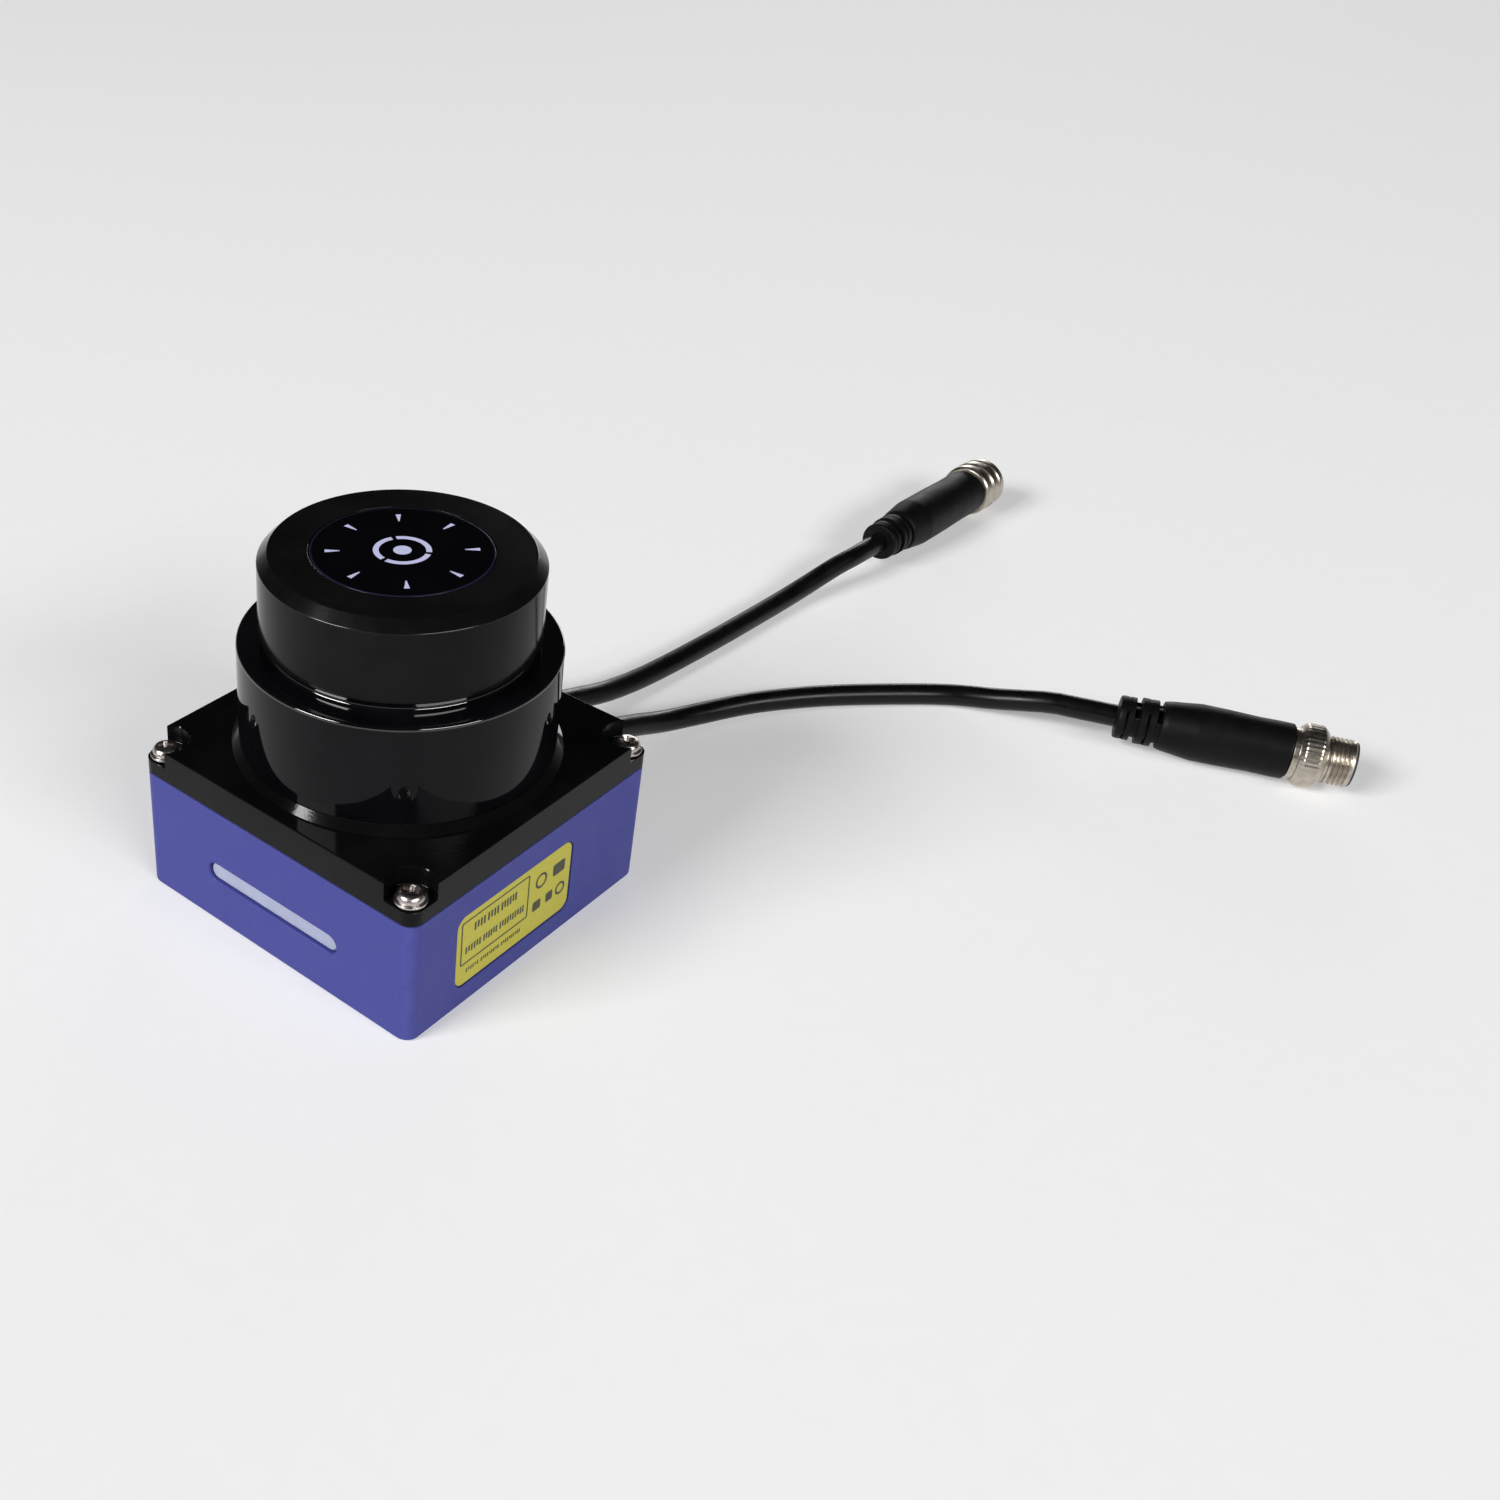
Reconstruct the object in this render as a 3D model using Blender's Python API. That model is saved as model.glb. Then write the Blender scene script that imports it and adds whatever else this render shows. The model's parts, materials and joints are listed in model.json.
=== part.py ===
"""Compact two-drum laser scanner on a square housing, with two moulded cable leads.

Units are metres, +Z is up, -Y is the status-light face, +X the label face and
+Y the cable face. The origin is the centre of the housing's underside.
"""

import math

import bmesh
import bpy
from mathutils import Matrix, Vector

# ---- clearances ----------------------------------------------------------
GAP = 0.0003            # air gap between neighbouring pieces
SEAM = 0.00015          # half of the parting gap between housing and cover

# ---- housing -------------------------------------------------------------
BODY_HALF = 0.0400      # half width of the square housing
BODY_CORNER = 0.0032    # radius of the vertical corners
BODY_TOP = 0.0310       # parting plane between housing and cover
FOOT_EDGE = 0.0008      # rounded lower edge
WALL_IN = 0.0368        # half width of the cavity
CAVITY_CORNER = 0.0130  # large corner radius leaves the screw bosses
FLOOR_TOP = 0.0045      # inner face of the housing floor
BOSS = 0.0362           # screw axes, from the centre lines
SCREW_HOLE_R = 0.0018
SCREW_HOLE_END = 0.0237
MOUNT_HOLE_R = 0.0021   # blind fixing holes in the underside
MOUNT_HOLE_AT = 0.0260
MOUNT_HOLE_DEEP = 0.0030
POST_R = 0.0026
POST_AT = 0.0260
POST_TOP = 0.0080
REBATE_HALF = 0.0387    # step in the wall top that takes the gasket
REBATE_CORNER = 0.0019
REBATE_Z = 0.0300

# ---- cover ---------------------------------------------------------------
PLATE_TOP = 0.03905
PLATE_EDGE = 0.00040    # rounded upper edge of the plate
POCKET_R = 0.0054
POCKET_FLOOR = 0.0346
COVER_BORE_R = 0.0300   # opening under the drum
COVER_ROOF = 0.0360
COVER_HOLLOW = 0.0330
COVER_HOLLOW_CORNER = 0.0100
COLLAR_TOP = 0.0407     # ring that carries the drum
FOOT_RUN = 0.00155       # width and height of the sloped foot round the drum

# ---- drums ---------------------------------------------------------------
WINDOW_R = 0.03497
WINDOW_WALL = 0.0022
WINDOW_FOOT = 0.0410
LEDGE_Z = 0.06455
LEDGE_T = 0.00225
NECK_R = 0.0285
NECK_IN_R = 0.0264
NECK_TOP = 0.06675
CAP_R = 0.03019
CAP_WALL = 0.0022
CAP_FOOT = 0.06705
CAP_TOP = 0.08545
CAP_CHAMFER = 0.00227
DISPLAY_R = 0.01955
DISPLAY_SEAT = 0.08365
DIFFUSER_R = 0.0170
CAP_CEILING = 0.0828

# ---- front light and label -----------------------------------------------
LIGHT_Z = 0.0141
LIGHT_LEN = 0.0382
LIGHT_H = 0.0042
LIGHT_RECESS = 0.0007
LABEL_Y = -0.0059
LABEL_Z = 0.01495
LABEL_W = 0.0384
LABEL_H = 0.0187
LABEL_CORNER = 0.0025
LABEL_T = 0.00025
LABEL_RECESS = 0.0005

# ---- rotor ---------------------------------------------------------------
SHAFT_R = 0.0025
BEARING_IN_R = 0.0028
BEARING_OUT_R = 0.0050
HUB_IN_R = 0.0053
HUB_R = 0.0075
MOUNT_FLANGE_R = 0.0324
MOUNT_FLANGE_Z = 0.0330
MOUNT_TOP = 0.0357
ENCODER_R = 0.0240
ENCODER_Z = 0.0383
ENCODER_T = 0.0008
ENCODER_TEETH = 16
TOOTH_ROOT_R = 0.0226
MIRROR_Z = 0.0540
MIRROR_A = 0.0105
MIRROR_B = 0.0080
MIRROR_T = 0.0017

# ---- cables and plugs ----------------------------------------------------
CABLE_R = 0.0029
CABLE_STEP = 0.0125
EXIT_X = 0.0090
EXIT_Z = 0.0110
GLAND_Y = 0.0345
GLAND_LEN = 0.0195
GLAND_HOLE_R = 0.0053
PLUG_1_AT = (0.0060, 0.2131, 0.0082)
PLUG_1_TURN = math.radians(86.95)
PLUG_1_LEN = 0.0500
PLUG_2_AT = (0.0980, 0.1694, 0.0082)
PLUG_2_TURN = math.radians(20.3)
PLUG_2_LEN = 0.0400
PLUG_R = 0.00735
NUT_LEN = 0.0114
RING_R = 0.0080         # grip radius of both coupling rings

# Resting routes of the cable centre lines, in metres, gland to plug.
ROUTE_1 = (
    (-0.0090, 0.0543, 0.0110),
    (-0.0090, 0.0670, 0.0110),
    (-0.0083, 0.0790, 0.0080),
    (-0.0070, 0.0930, 0.0045),
    (-0.0050, 0.1100, 0.00310),
    (-0.0026, 0.1350, 0.00305),
    (-0.0006, 0.1650, 0.00320),
    (0.0012, 0.1800, 0.0046),
    (0.0036, 0.1920, 0.0071),
    (0.00532, 0.2000, 0.0082),
    (0.0060, 0.2128, 0.0082),
)
ROUTE_2 = (
    (0.0090, 0.0543, 0.0110),
    (0.0090, 0.0670, 0.0110),
    (0.0100, 0.0790, 0.0080),
    (0.0122, 0.0915, 0.0044),
    (0.0158, 0.1025, 0.00310),
    (0.0228, 0.1164, 0.00305),
    (0.0326, 0.1302, 0.00305),
    (0.0436, 0.1424, 0.00305),
    (0.0582, 0.1560, 0.00320),
    (0.0700, 0.1607, 0.0049),
    (0.0765, 0.1620, 0.0067),
    (0.0830, 0.1639, 0.0081),
    (0.0883, 0.1658, 0.0082),
    (0.09772, 0.1693, 0.0082),
)


# ---- materials -----------------------------------------------------------
def finish(name, colour, roughness, metallic=0.0, glow=0.0):
    mat = bpy.data.materials.get(name)
    if mat is None:
        mat = bpy.data.materials.new(name)
        mat.use_nodes = True
        shader = mat.node_tree.nodes["Principled BSDF"]
        shader.inputs["Base Color"].default_value = (*colour, 1.0)
        shader.inputs["Roughness"].default_value = roughness
        shader.inputs["Metallic"].default_value = metallic
        if glow:
            shader.inputs["Emission Color"].default_value = (*colour, 1.0)
            shader.inputs["Emission Strength"].default_value = glow
        mat.diffuse_color = (*colour, 1.0)
    return mat


def blue_paint():
    return finish("blue_paint", (0.085, 0.088, 0.36), 0.45)


def black_plastic():
    return finish("black_plastic", (0.012, 0.012, 0.013), 0.18)


def window_plastic():
    return finish("window_plastic", (0.010, 0.010, 0.012), 0.12)


def display_glass():
    return finish("display_glass", (0.004, 0.004, 0.007), 0.05)


def diffuser():
    return finish("diffuser", (0.80, 0.82, 0.92), 0.45, 0.0, 0.4)


def light_guide():
    return finish("light_guide", (0.50, 0.54, 0.68), 0.35)


def label_film():
    return finish("label_film", (0.50, 0.45, 0.05), 0.40)


def steel():
    return finish("steel", (0.62, 0.61, 0.58), 0.24, 1.0)


def nickel():
    return finish("nickel", (0.66, 0.63, 0.58), 0.28, 1.0)


def aluminium():
    return finish("aluminium", (0.60, 0.61, 0.62), 0.38, 1.0)


def copper():
    return finish("copper", (0.62, 0.30, 0.16), 0.35, 1.0)


def mirror_coat():
    return finish("mirror_coat", (0.92, 0.92, 0.90), 0.03, 1.0)


def lens_glass():
    return finish("lens_glass", (0.25, 0.10, 0.12), 0.05)


def rubber():
    return finish("rubber", (0.020, 0.020, 0.021), 0.75)


def jacket():
    return finish("jacket", (0.018, 0.019, 0.020), 0.38)


def overmould():
    return finish("overmould", (0.022, 0.023, 0.025), 0.50)


def circuit_board():
    return finish("circuit_board", (0.015, 0.085, 0.040), 0.45)


def carrier_plastic():
    return finish("carrier_plastic", (0.030, 0.030, 0.032), 0.50)


# ---- mesh helpers --------------------------------------------------------
def clear_scene():
    for obj in list(bpy.data.objects):
        bpy.data.objects.remove(obj, do_unlink=True)


def shade(obj, mat, degrees=34.0):
    obj.data.materials.clear()
    obj.data.materials.append(mat)
    for face in obj.data.polygons:
        face.use_smooth = True
        face.material_index = 0
    obj.data.set_sharp_from_angle(angle=math.radians(degrees))
    return obj


def add_object(name, bm):
    bmesh.ops.remove_doubles(bm, verts=bm.verts, dist=1e-8)
    bmesh.ops.recalc_face_normals(bm, faces=bm.faces)
    mesh = bpy.data.meshes.new(name)
    bm.to_mesh(mesh)
    bm.free()
    obj = bpy.data.objects.new(name, mesh)
    bpy.context.scene.collection.objects.link(obj)
    return obj


def lathe(name, profile, segments, closed=True):
    """Turn (radius, height) points about Z; an open profile starts and ends on the axis."""
    bm = bmesh.new()
    rings = []
    for radius, height in profile:
        if radius < 1e-9:
            rings.append([bm.verts.new((0.0, 0.0, height))])
            continue
        ring = []
        for i in range(segments):
            a = 2.0 * math.pi * i / segments
            ring.append(bm.verts.new((radius * math.cos(a), radius * math.sin(a), height)))
        rings.append(ring)
    pairs = list(zip(rings, rings[1:]))
    if closed:
        pairs.append((rings[-1], rings[0]))
    for lower, upper in pairs:
        bridge(bm, lower, upper)
    return add_object(name, bm)


def bridge(bm, lower, upper):
    count = max(len(lower), len(upper))
    for i in range(count):
        j = (i + 1) % count
        if len(lower) == 1:
            bm.faces.new((lower[0], upper[j], upper[i]))
        elif len(upper) == 1:
            bm.faces.new((lower[i], lower[j], upper[0]))
        else:
            bm.faces.new((lower[i], lower[j], upper[j], upper[i]))


def stack(name, layers):
    """Bridge equal-length outlines (lists of 3-D points) and close both ends."""
    bm = bmesh.new()
    rings = [[bm.verts.new(p) for p in layer] for layer in layers]
    for lower, upper in zip(rings, rings[1:]):
        bridge(bm, lower, upper)
    bm.faces.new(rings[0][::-1])
    bm.faces.new(rings[-1])
    return add_object(name, bm)


def ring_prism(name, outer, inner, z0, z1):
    """Flat ring between two outlines of equal length."""
    bm = bmesh.new()
    loops = []
    for outline, z in ((outer, z0), (outer, z1), (inner, z1), (inner, z0)):
        loops.append([bm.verts.new((x, y, z)) for x, y in outline])
    for lower, upper in zip(loops, loops[1:] + loops[:1]):
        bridge(bm, lower, upper)
    return add_object(name, bm)


def rounded(half_w, half_h, radius, steps=4):
    points = []
    corners = ((1, 1, 0), (-1, 1, 1), (-1, -1, 2), (1, -1, 3))
    for sx, sy, quarter in corners:
        for i in range(steps + 1):
            a = (quarter + i / steps) * math.pi / 2.0
            x = sx * (half_w - radius) + radius * math.cos(a)
            y = sy * (half_h - radius) + radius * math.sin(a)
            points.append((x, y))
    return points


def level(outline, z):
    return [(x, y, z) for x, y in outline]


def facing_front(outline, centre_x, centre_z, y):
    return [(centre_x + u, y, centre_z + v) for u, v in outline]


def facing_side(outline, centre_y, centre_z, x):
    return [(x, centre_y + u, centre_z + v) for u, v in outline]


def box(name, low, high):
    (x0, y0, z0), (x1, y1, z1) = low, high
    base = ((x0, y0), (x1, y0), (x1, y1), (x0, y1))
    return stack(name, (level(base, z0), level(base, z1)))


def rod(name, x, y, z0, z1, radius, segments=20):
    outline = circle(radius, segments, x, y)
    return stack(name, (level(outline, z0), level(outline, z1)))


def circle(radius, segments, x=0.0, y=0.0):
    turn = 2.0 * math.pi / segments
    return [(x + radius * math.cos(turn * i), y + radius * math.sin(turn * i)) for i in range(segments)]


def combine(obj, tools, operation):
    """Apply one boolean with each tool in turn and drop the tools."""
    for tool in tools:
        mod = obj.modifiers.new("cut", "BOOLEAN")
        mod.operation = operation
        mod.solver = "EXACT"
        mod.object = tool
        depsgraph = bpy.context.evaluated_depsgraph_get()
        mesh = bpy.data.meshes.new_from_object(obj.evaluated_get(depsgraph))
        obj.modifiers.clear()
        obj.data = mesh
        bpy.data.objects.remove(tool, do_unlink=True)
    return obj


def cut(obj, *tools):
    return combine(obj, tools, "DIFFERENCE")


def join(obj, *tools):
    return combine(obj, tools, "UNION")


def four_corners(distance):
    return [(sx * distance, sy * distance) for sx in (-1, 1) for sy in (-1, 1)]


def move_mesh(obj, matrix):
    obj.data.transform(matrix)
    return obj


def place_on_axis(obj, start, turn):
    """Lay a piece turned about local Z along the floor direction `turn`, starting at `start`."""
    obj.matrix_world = Matrix.Translation(start) @ Matrix.Rotation(turn, 4, "Z") @ Matrix.Rotation(
        math.pi / 2.0, 4, "Y"
    )
    return obj


def along_axis(start, turn, distance):
    return Vector(start) + distance * Vector((math.cos(turn), math.sin(turn), 0.0))


# ---- housing group -------------------------------------------------------
def base_housing():
    edge = FOOT_EDGE
    top = BODY_TOP - SEAM
    layers = []
    for drop, rise in ((edge, 0.0), (0.29 * edge, 0.29 * edge), (0.0, edge)):
        layers.append(level(rounded(BODY_HALF - drop, BODY_HALF - drop, BODY_CORNER - drop), rise))
    layers.append(level(rounded(BODY_HALF, BODY_HALF, BODY_CORNER), top))
    body = stack("base_housing", layers)

    cavity = rounded(WALL_IN, WALL_IN, CAVITY_CORNER)
    rebate = rounded(REBATE_HALF, REBATE_HALF, REBATE_CORNER)
    cut(body, stack("cavity", (level(cavity, FLOOR_TOP), level(cavity, 0.034))))
    cut(body, stack("rebate", (level(rebate, REBATE_Z), level(rebate, 0.034))))
    for x, y in four_corners(BOSS):
        cut(body, rod("screw_hole", x, y, SCREW_HOLE_END, 0.034, SCREW_HOLE_R))
    for x, y in four_corners(MOUNT_HOLE_AT):
        cut(body, rod("mount_hole", x, y, -0.001, MOUNT_HOLE_DEEP, MOUNT_HOLE_R))
    for x, y in four_corners(POST_AT):
        join(body, rod("post", x, y, FLOOR_TOP - 0.0006, POST_TOP, POST_R, 16))

    half_w = LIGHT_LEN / 2.0 + GAP
    half_h = LIGHT_H / 2.0 + GAP
    slot = rounded(half_w, half_h, half_h - 1e-5)
    cut(body, stack("slot", [facing_front(slot, 0.0, LIGHT_Z, y) for y in (-0.045, -0.030)]))
    recess = rounded(LABEL_W / 2.0 + GAP, LABEL_H / 2.0 + GAP, LABEL_CORNER + GAP)
    depth = BODY_HALF - LABEL_RECESS
    cut(body, stack("recess", [facing_side(recess, LABEL_Y, LABEL_Z, x) for x in (depth, 0.045)]))
    for x in (-EXIT_X, EXIT_X):
        hole = circle(GLAND_HOLE_R, 24)
        cut(body, stack("gland_hole", [facing_front(hole, x, EXIT_Z, y) for y in (0.030, 0.045)]))
    return shade(body, blue_paint())


def cover_gasket():
    outer = rounded(REBATE_HALF - GAP, REBATE_HALF - GAP, REBATE_CORNER - GAP)
    inner = rounded(WALL_IN + GAP, WALL_IN + GAP, CAVITY_CORNER)
    body = ring_prism("cover_gasket", outer, inner, REBATE_Z + GAP, BODY_TOP - SEAM)
    for x, y in four_corners(BOSS):
        cut(body, rod("hole", x, y, 0.029, 0.032, SCREW_HOLE_R, 16))
    return shade(body, rubber())


def top_cover():
    layers = [level(rounded(BODY_HALF, BODY_HALF, BODY_CORNER), BODY_TOP + SEAM)]
    for drop, below in ((0.0, PLATE_EDGE), (0.29 * PLATE_EDGE, 0.29 * PLATE_EDGE), (PLATE_EDGE, 0.0)):
        half = BODY_HALF - drop
        layers.append(level(rounded(half, half, BODY_CORNER - drop), PLATE_TOP - below))
    body = stack("top_cover", layers)

    foot_r = WINDOW_R + FOOT_RUN
    below = 0.0005
    collar = [(COVER_BORE_R - 0.001, 0.0370), (foot_r + below, 0.0370), (foot_r + below, PLATE_TOP - below)]
    collar += [(WINDOW_R, PLATE_TOP + FOOT_RUN), (WINDOW_R, COLLAR_TOP), (COVER_BORE_R - 0.001, COLLAR_TOP)]
    join(body, lathe("collar", collar, 64))

    hollow = rounded(COVER_HOLLOW, COVER_HOLLOW, COVER_HOLLOW_CORNER)
    cut(body, stack("hollow", (level(hollow, 0.029), level(hollow, COVER_ROOF))))
    cut(body, rod("bore", 0.0, 0.0, 0.034, 0.045, COVER_BORE_R, 64))
    groove = ((0.0329, 0.0398), (0.0347, 0.0398), (0.0347, 0.0420), (0.0329, 0.0420))
    cut(body, lathe("groove", groove, 64))
    for x, y in four_corners(BOSS):
        cut(body, rod("pocket", x, y, POCKET_FLOOR, 0.042, POCKET_R, 32))
        cut(body, rod("screw_hole", x, y, 0.029, 0.036, SCREW_HOLE_R))
    return shade(body, black_plastic())


def window_seal():
    inner, outer = 0.0332, 0.0344
    low, high = 0.0401, COLLAR_TOP
    profile = ((inner, low), (outer, low), (outer, high), (inner, high))
    return shade(lathe("window_seal", profile, 48), rubber())


def scan_window():
    inner = WINDOW_R - WINDOW_WALL
    round_off = 0.0006
    neck_fillet = 0.0010
    profile = [(inner, WINDOW_FOOT), (WINDOW_R, WINDOW_FOOT)]
    profile += [(WINDOW_R, LEDGE_Z - round_off)]
    profile += [(WINDOW_R - 0.29 * round_off, LEDGE_Z - 0.29 * round_off)]
    profile += [(WINDOW_R - round_off, LEDGE_Z)]
    profile += [(NECK_R + neck_fillet, LEDGE_Z)]
    profile += [(NECK_R + 0.29 * neck_fillet, LEDGE_Z + 0.29 * neck_fillet)]
    profile += [(NECK_R, LEDGE_Z + neck_fillet), (NECK_R, NECK_TOP), (NECK_IN_R, NECK_TOP)]
    profile += [(NECK_IN_R, LEDGE_Z - LEDGE_T), (inner, LEDGE_Z - LEDGE_T)]
    return shade(lathe("scan_window", profile, 64), window_plastic())


def head_chassis():
    flange_z = NECK_TOP + 0.00035
    top = 0.0693
    profile = ((0.0099, 0.0630), (0.0124, 0.0630), (0.0124, flange_z), (0.0240, flange_z))
    profile += ((0.0240, 0.0630), (0.0260, 0.0630), (0.0260, flange_z), (0.0276, flange_z))
    profile += ((0.0276, top), (0.0084, top), (0.0084, 0.0683), (0.0099, 0.0683))
    body = lathe("head_chassis", profile, 32)
    for i in range(3):
        a = math.radians(30.0 + 120.0 * i)
        join(body, rod("post", 0.020 * math.cos(a), 0.020 * math.sin(a), top - 0.0006, 0.0745, 0.0016, 12))
    return shade(body, aluminium())


def upper_cap():
    inner = CAP_R - CAP_WALL
    profile = [(inner, CAP_FOOT), (CAP_R - 0.0003, CAP_FOOT), (CAP_R, CAP_FOOT + 0.0003)]
    profile += [(CAP_R, CAP_TOP - CAP_CHAMFER), (CAP_R - CAP_CHAMFER, CAP_TOP)]
    profile += [(DISPLAY_R, CAP_TOP), (DISPLAY_R, DISPLAY_SEAT), (DIFFUSER_R, DISPLAY_SEAT)]
    profile += [(DIFFUSER_R, CAP_CEILING), (inner, CAP_CEILING)]
    body = lathe("upper_cap", profile, 64)
    for i in range(3):
        a = math.radians(90.0 + 120.0 * i)
        join(body, rod("post", 0.0222 * math.cos(a), 0.0222 * math.sin(a), 0.0812, 0.0834, 0.0016, 12))
    return shade(body, black_plastic())


def display_lens():
    radius = DISPLAY_R - GAP
    low = DISPLAY_SEAT + GAP
    high = CAP_TOP - 0.0001
    bevel = 0.0002
    profile = ((0.0, low), (radius, low), (radius, high - bevel), (radius - bevel, high), (0.0, high))
    return shade(lathe("display_lens", profile, 48, closed=False), display_glass())


def display_diffuser():
    radius = DIFFUSER_R - GAP
    body = rod("display_diffuser", 0.0, 0.0, 0.0821, DISPLAY_SEAT - 0.00005, radius, 32)
    return shade(body, diffuser())


def display_board():
    body = rod("display_board", 0.0, 0.0, 0.0793, 0.0809, 0.0245, 32)
    size = 0.0015
    for i in range(8):
        a = math.radians(45.0 * i)
        x, y = 0.0150 * math.cos(a), 0.0150 * math.sin(a)
        join(body, box("led", (x - size, y - size, 0.0805), (x + size, y + size, 0.0817)))
    return shade(body, circuit_board())


# ---- front light and label -----------------------------------------------
def status_light_guide():
    half_h = LIGHT_H / 2.0
    lens = rounded(LIGHT_LEN / 2.0, half_h, half_h - 1e-5)
    flange = rounded(0.0208, 0.0035, 0.0034)
    face = -BODY_HALF + LIGHT_RECESS
    back = -WALL_IN + GAP
    layers = [facing_front(lens, 0.0, LIGHT_Z, y) for y in (face, back)]
    layers += [facing_front(flange, 0.0, LIGHT_Z, y) for y in (back, back + 0.0012)]
    return shade(stack("status_light_guide", layers), light_guide())


def status_board():
    front, half_w, half_h = -0.0340, 0.0210, 0.0045
    low_corner = (-half_w, front, LIGHT_Z - half_h)
    body = box("status_board", low_corner, (half_w, front + 0.0010, LIGHT_Z + half_h))
    for i in range(5):
        x = (i - 2) * 0.0080
        low = (x - 0.0016, front - 0.0009, LIGHT_Z - 0.0010)
        high = (x + 0.0016, front + 0.0004, LIGHT_Z + 0.0010)
        join(body, box("led", low, high))
    return shade(body, circuit_board())


def laser_label():
    outline = rounded(LABEL_W / 2.0, LABEL_H / 2.0, LABEL_CORNER)
    layers = [facing_side(outline, LABEL_Y, LABEL_Z, BODY_HALF - t) for t in (LABEL_T, 0.0)]
    return shade(stack("side_label", layers), label_film())


# ---- corner fasteners ----------------------------------------------------
def corner_screw(index, x, y):
    seat = POCKET_FLOOR + GAP + 0.00055 + GAP
    profile = ((0.0, 0.0240), (0.0012, 0.0240), (0.0015, 0.0244), (0.0015, seat), (0.0029, seat))
    profile += ((0.0029, seat + 0.0008), (0.0025, seat + 0.0017), (0.0015, seat + 0.0022))
    profile += ((0.0, seat + 0.0023),)
    body = lathe(f"corner_screw_{index}", profile, 16, closed=False)
    reach, half = 0.0016, 0.0004
    low, high = seat + 0.0011, seat + 0.0040
    star = box("cross_a", (-reach, -half, low), (reach, half, high))
    join(star, box("cross_b", (-half, -reach, low), (half, reach, high)))
    cut(body, star)
    body.location = (x, y, 0.0)
    return shade(body, steel())


def corner_washer(index, x, y):
    low = POCKET_FLOOR + GAP
    high = low + 0.00055
    profile = ((0.00185, low), (0.0035, low), (0.0035, high), (0.00185, high))
    body = lathe(f"corner_washer_{index}", profile, 20)
    body.location = (x, y, 0.0)
    return shade(body, steel())


# ---- electronics ---------------------------------------------------------
def main_board():
    low, high = POST_TOP + GAP, POST_TOP + GAP + 0.0016
    body = box("main_board", (-0.031, -0.031, low), (0.031, 0.031, high))
    parts = (
        (-0.0185, -0.0120, 0.0060, 0.0060, 0.0013),
        (0.0235, -0.0220, 0.0040, 0.0040, 0.0040),
        (-0.0090, 0.0265, 0.0045, 0.0028, 0.0048),
        (0.0090, 0.0265, 0.0045, 0.0028, 0.0048),
        (0.0150, 0.0040, 0.0030, 0.0050, 0.0012),
        (-0.0240, 0.0160, 0.0022, 0.0038, 0.0030),
    )
    for x, y, half_x, half_y, tall in parts:
        low_corner = (x - half_x, y - half_y, high - 0.0005)
        join(body, box("chip", low_corner, (x + half_x, y + half_y, high + tall)))
    return shade(body, circuit_board())


def receiver_board():
    body = rod("receiver_board", 0.0, 0.0, 0.0748, 0.0764, 0.0225, 32)
    for x, y, half in ((0.0, 0.0, 0.0035), (0.0110, 0.0060, 0.0028), (-0.0100, -0.0080, 0.0030)):
        join(body, box("chip", (x - half, y - half, 0.0760), (x + half, y + half, 0.0778)))
    return shade(body, circuit_board())


def flex_carrier():
    inner, outer = 0.0280, 0.0294
    start, end = math.radians(76.0), math.radians(104.0)
    steps = 6
    turns = [start + (end - start) * i / steps for i in range(steps + 1)]
    outline = [(outer * math.cos(a), outer * math.sin(a)) for a in turns]
    outline += [(inner * math.cos(a), inner * math.sin(a)) for a in reversed(turns)]
    body = stack("flex_carrier", (level(outline, MOUNT_TOP + GAP), level(outline, 0.0619)))
    return shade(body, carrier_plastic())


def encoder_sensor():
    half = 0.0030
    profile = ((0.0205, 0.0360), (0.0272, 0.0360), (0.0272, 0.0415), (0.0205, 0.0415))
    profile += ((0.0205, 0.0399), (0.0250, 0.0399), (0.0250, 0.0375), (0.0205, 0.0375))
    layers = [[(r, t, z) for r, z in profile] for t in (-half, half)]
    body = stack("encoder_sensor", layers)
    move_mesh(body, Matrix.Rotation(math.radians(150.0), 4, "Z"))
    return shade(body, carrier_plastic())


# ---- motor and rotor -----------------------------------------------------
def motor_mount():
    profile = ((HUB_IN_R, 0.0145), (HUB_R, 0.0145), (HUB_R, MOUNT_FLANGE_Z))
    profile += ((MOUNT_FLANGE_R, MOUNT_FLANGE_Z), (MOUNT_FLANGE_R, MOUNT_TOP), (HUB_IN_R, MOUNT_TOP))
    return shade(lathe("motor_mount", profile, 40), aluminium())


def motor_stator():
    teeth = 9
    outer, inner = [], []
    for i in range(teeth):
        base = 2.0 * math.pi * i / teeth
        for offset, radius in ((-0.24, 0.0105), (-0.22, 0.0138), (0.22, 0.0138), (0.24, 0.0105)):
            a = base + offset
            outer.append((radius * math.cos(a), radius * math.sin(a)))
            inner.append((0.0078 * math.cos(a), 0.0078 * math.sin(a)))
    return shade(ring_prism("motor_stator", outer, inner, 0.0170, 0.0250), copper())


def bearing(name, low, high):
    profile = ((BEARING_IN_R, low), (BEARING_OUT_R, low), (BEARING_OUT_R, high), (BEARING_IN_R, high))
    return shade(lathe(name, profile, 20), steel())


def spin_shaft():
    profile = ((0.0, 0.0128), (SHAFT_R, 0.0128), (SHAFT_R, 0.0362), (0.0046, 0.0362))
    profile += ((0.0046, 0.0380), (SHAFT_R, 0.0380), (SHAFT_R, 0.0455), (0.0, 0.0455))
    return shade(lathe("spin_shaft", profile, 24, closed=False), steel())


def motor_bell():
    profile = ((0.0028, 0.0126), (0.0166, 0.0126), (0.0166, 0.0260), (0.0143, 0.0260))
    profile += ((0.0143, 0.0142), (0.0028, 0.0142))
    return shade(lathe("motor_bell", profile, 32), steel())


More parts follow.
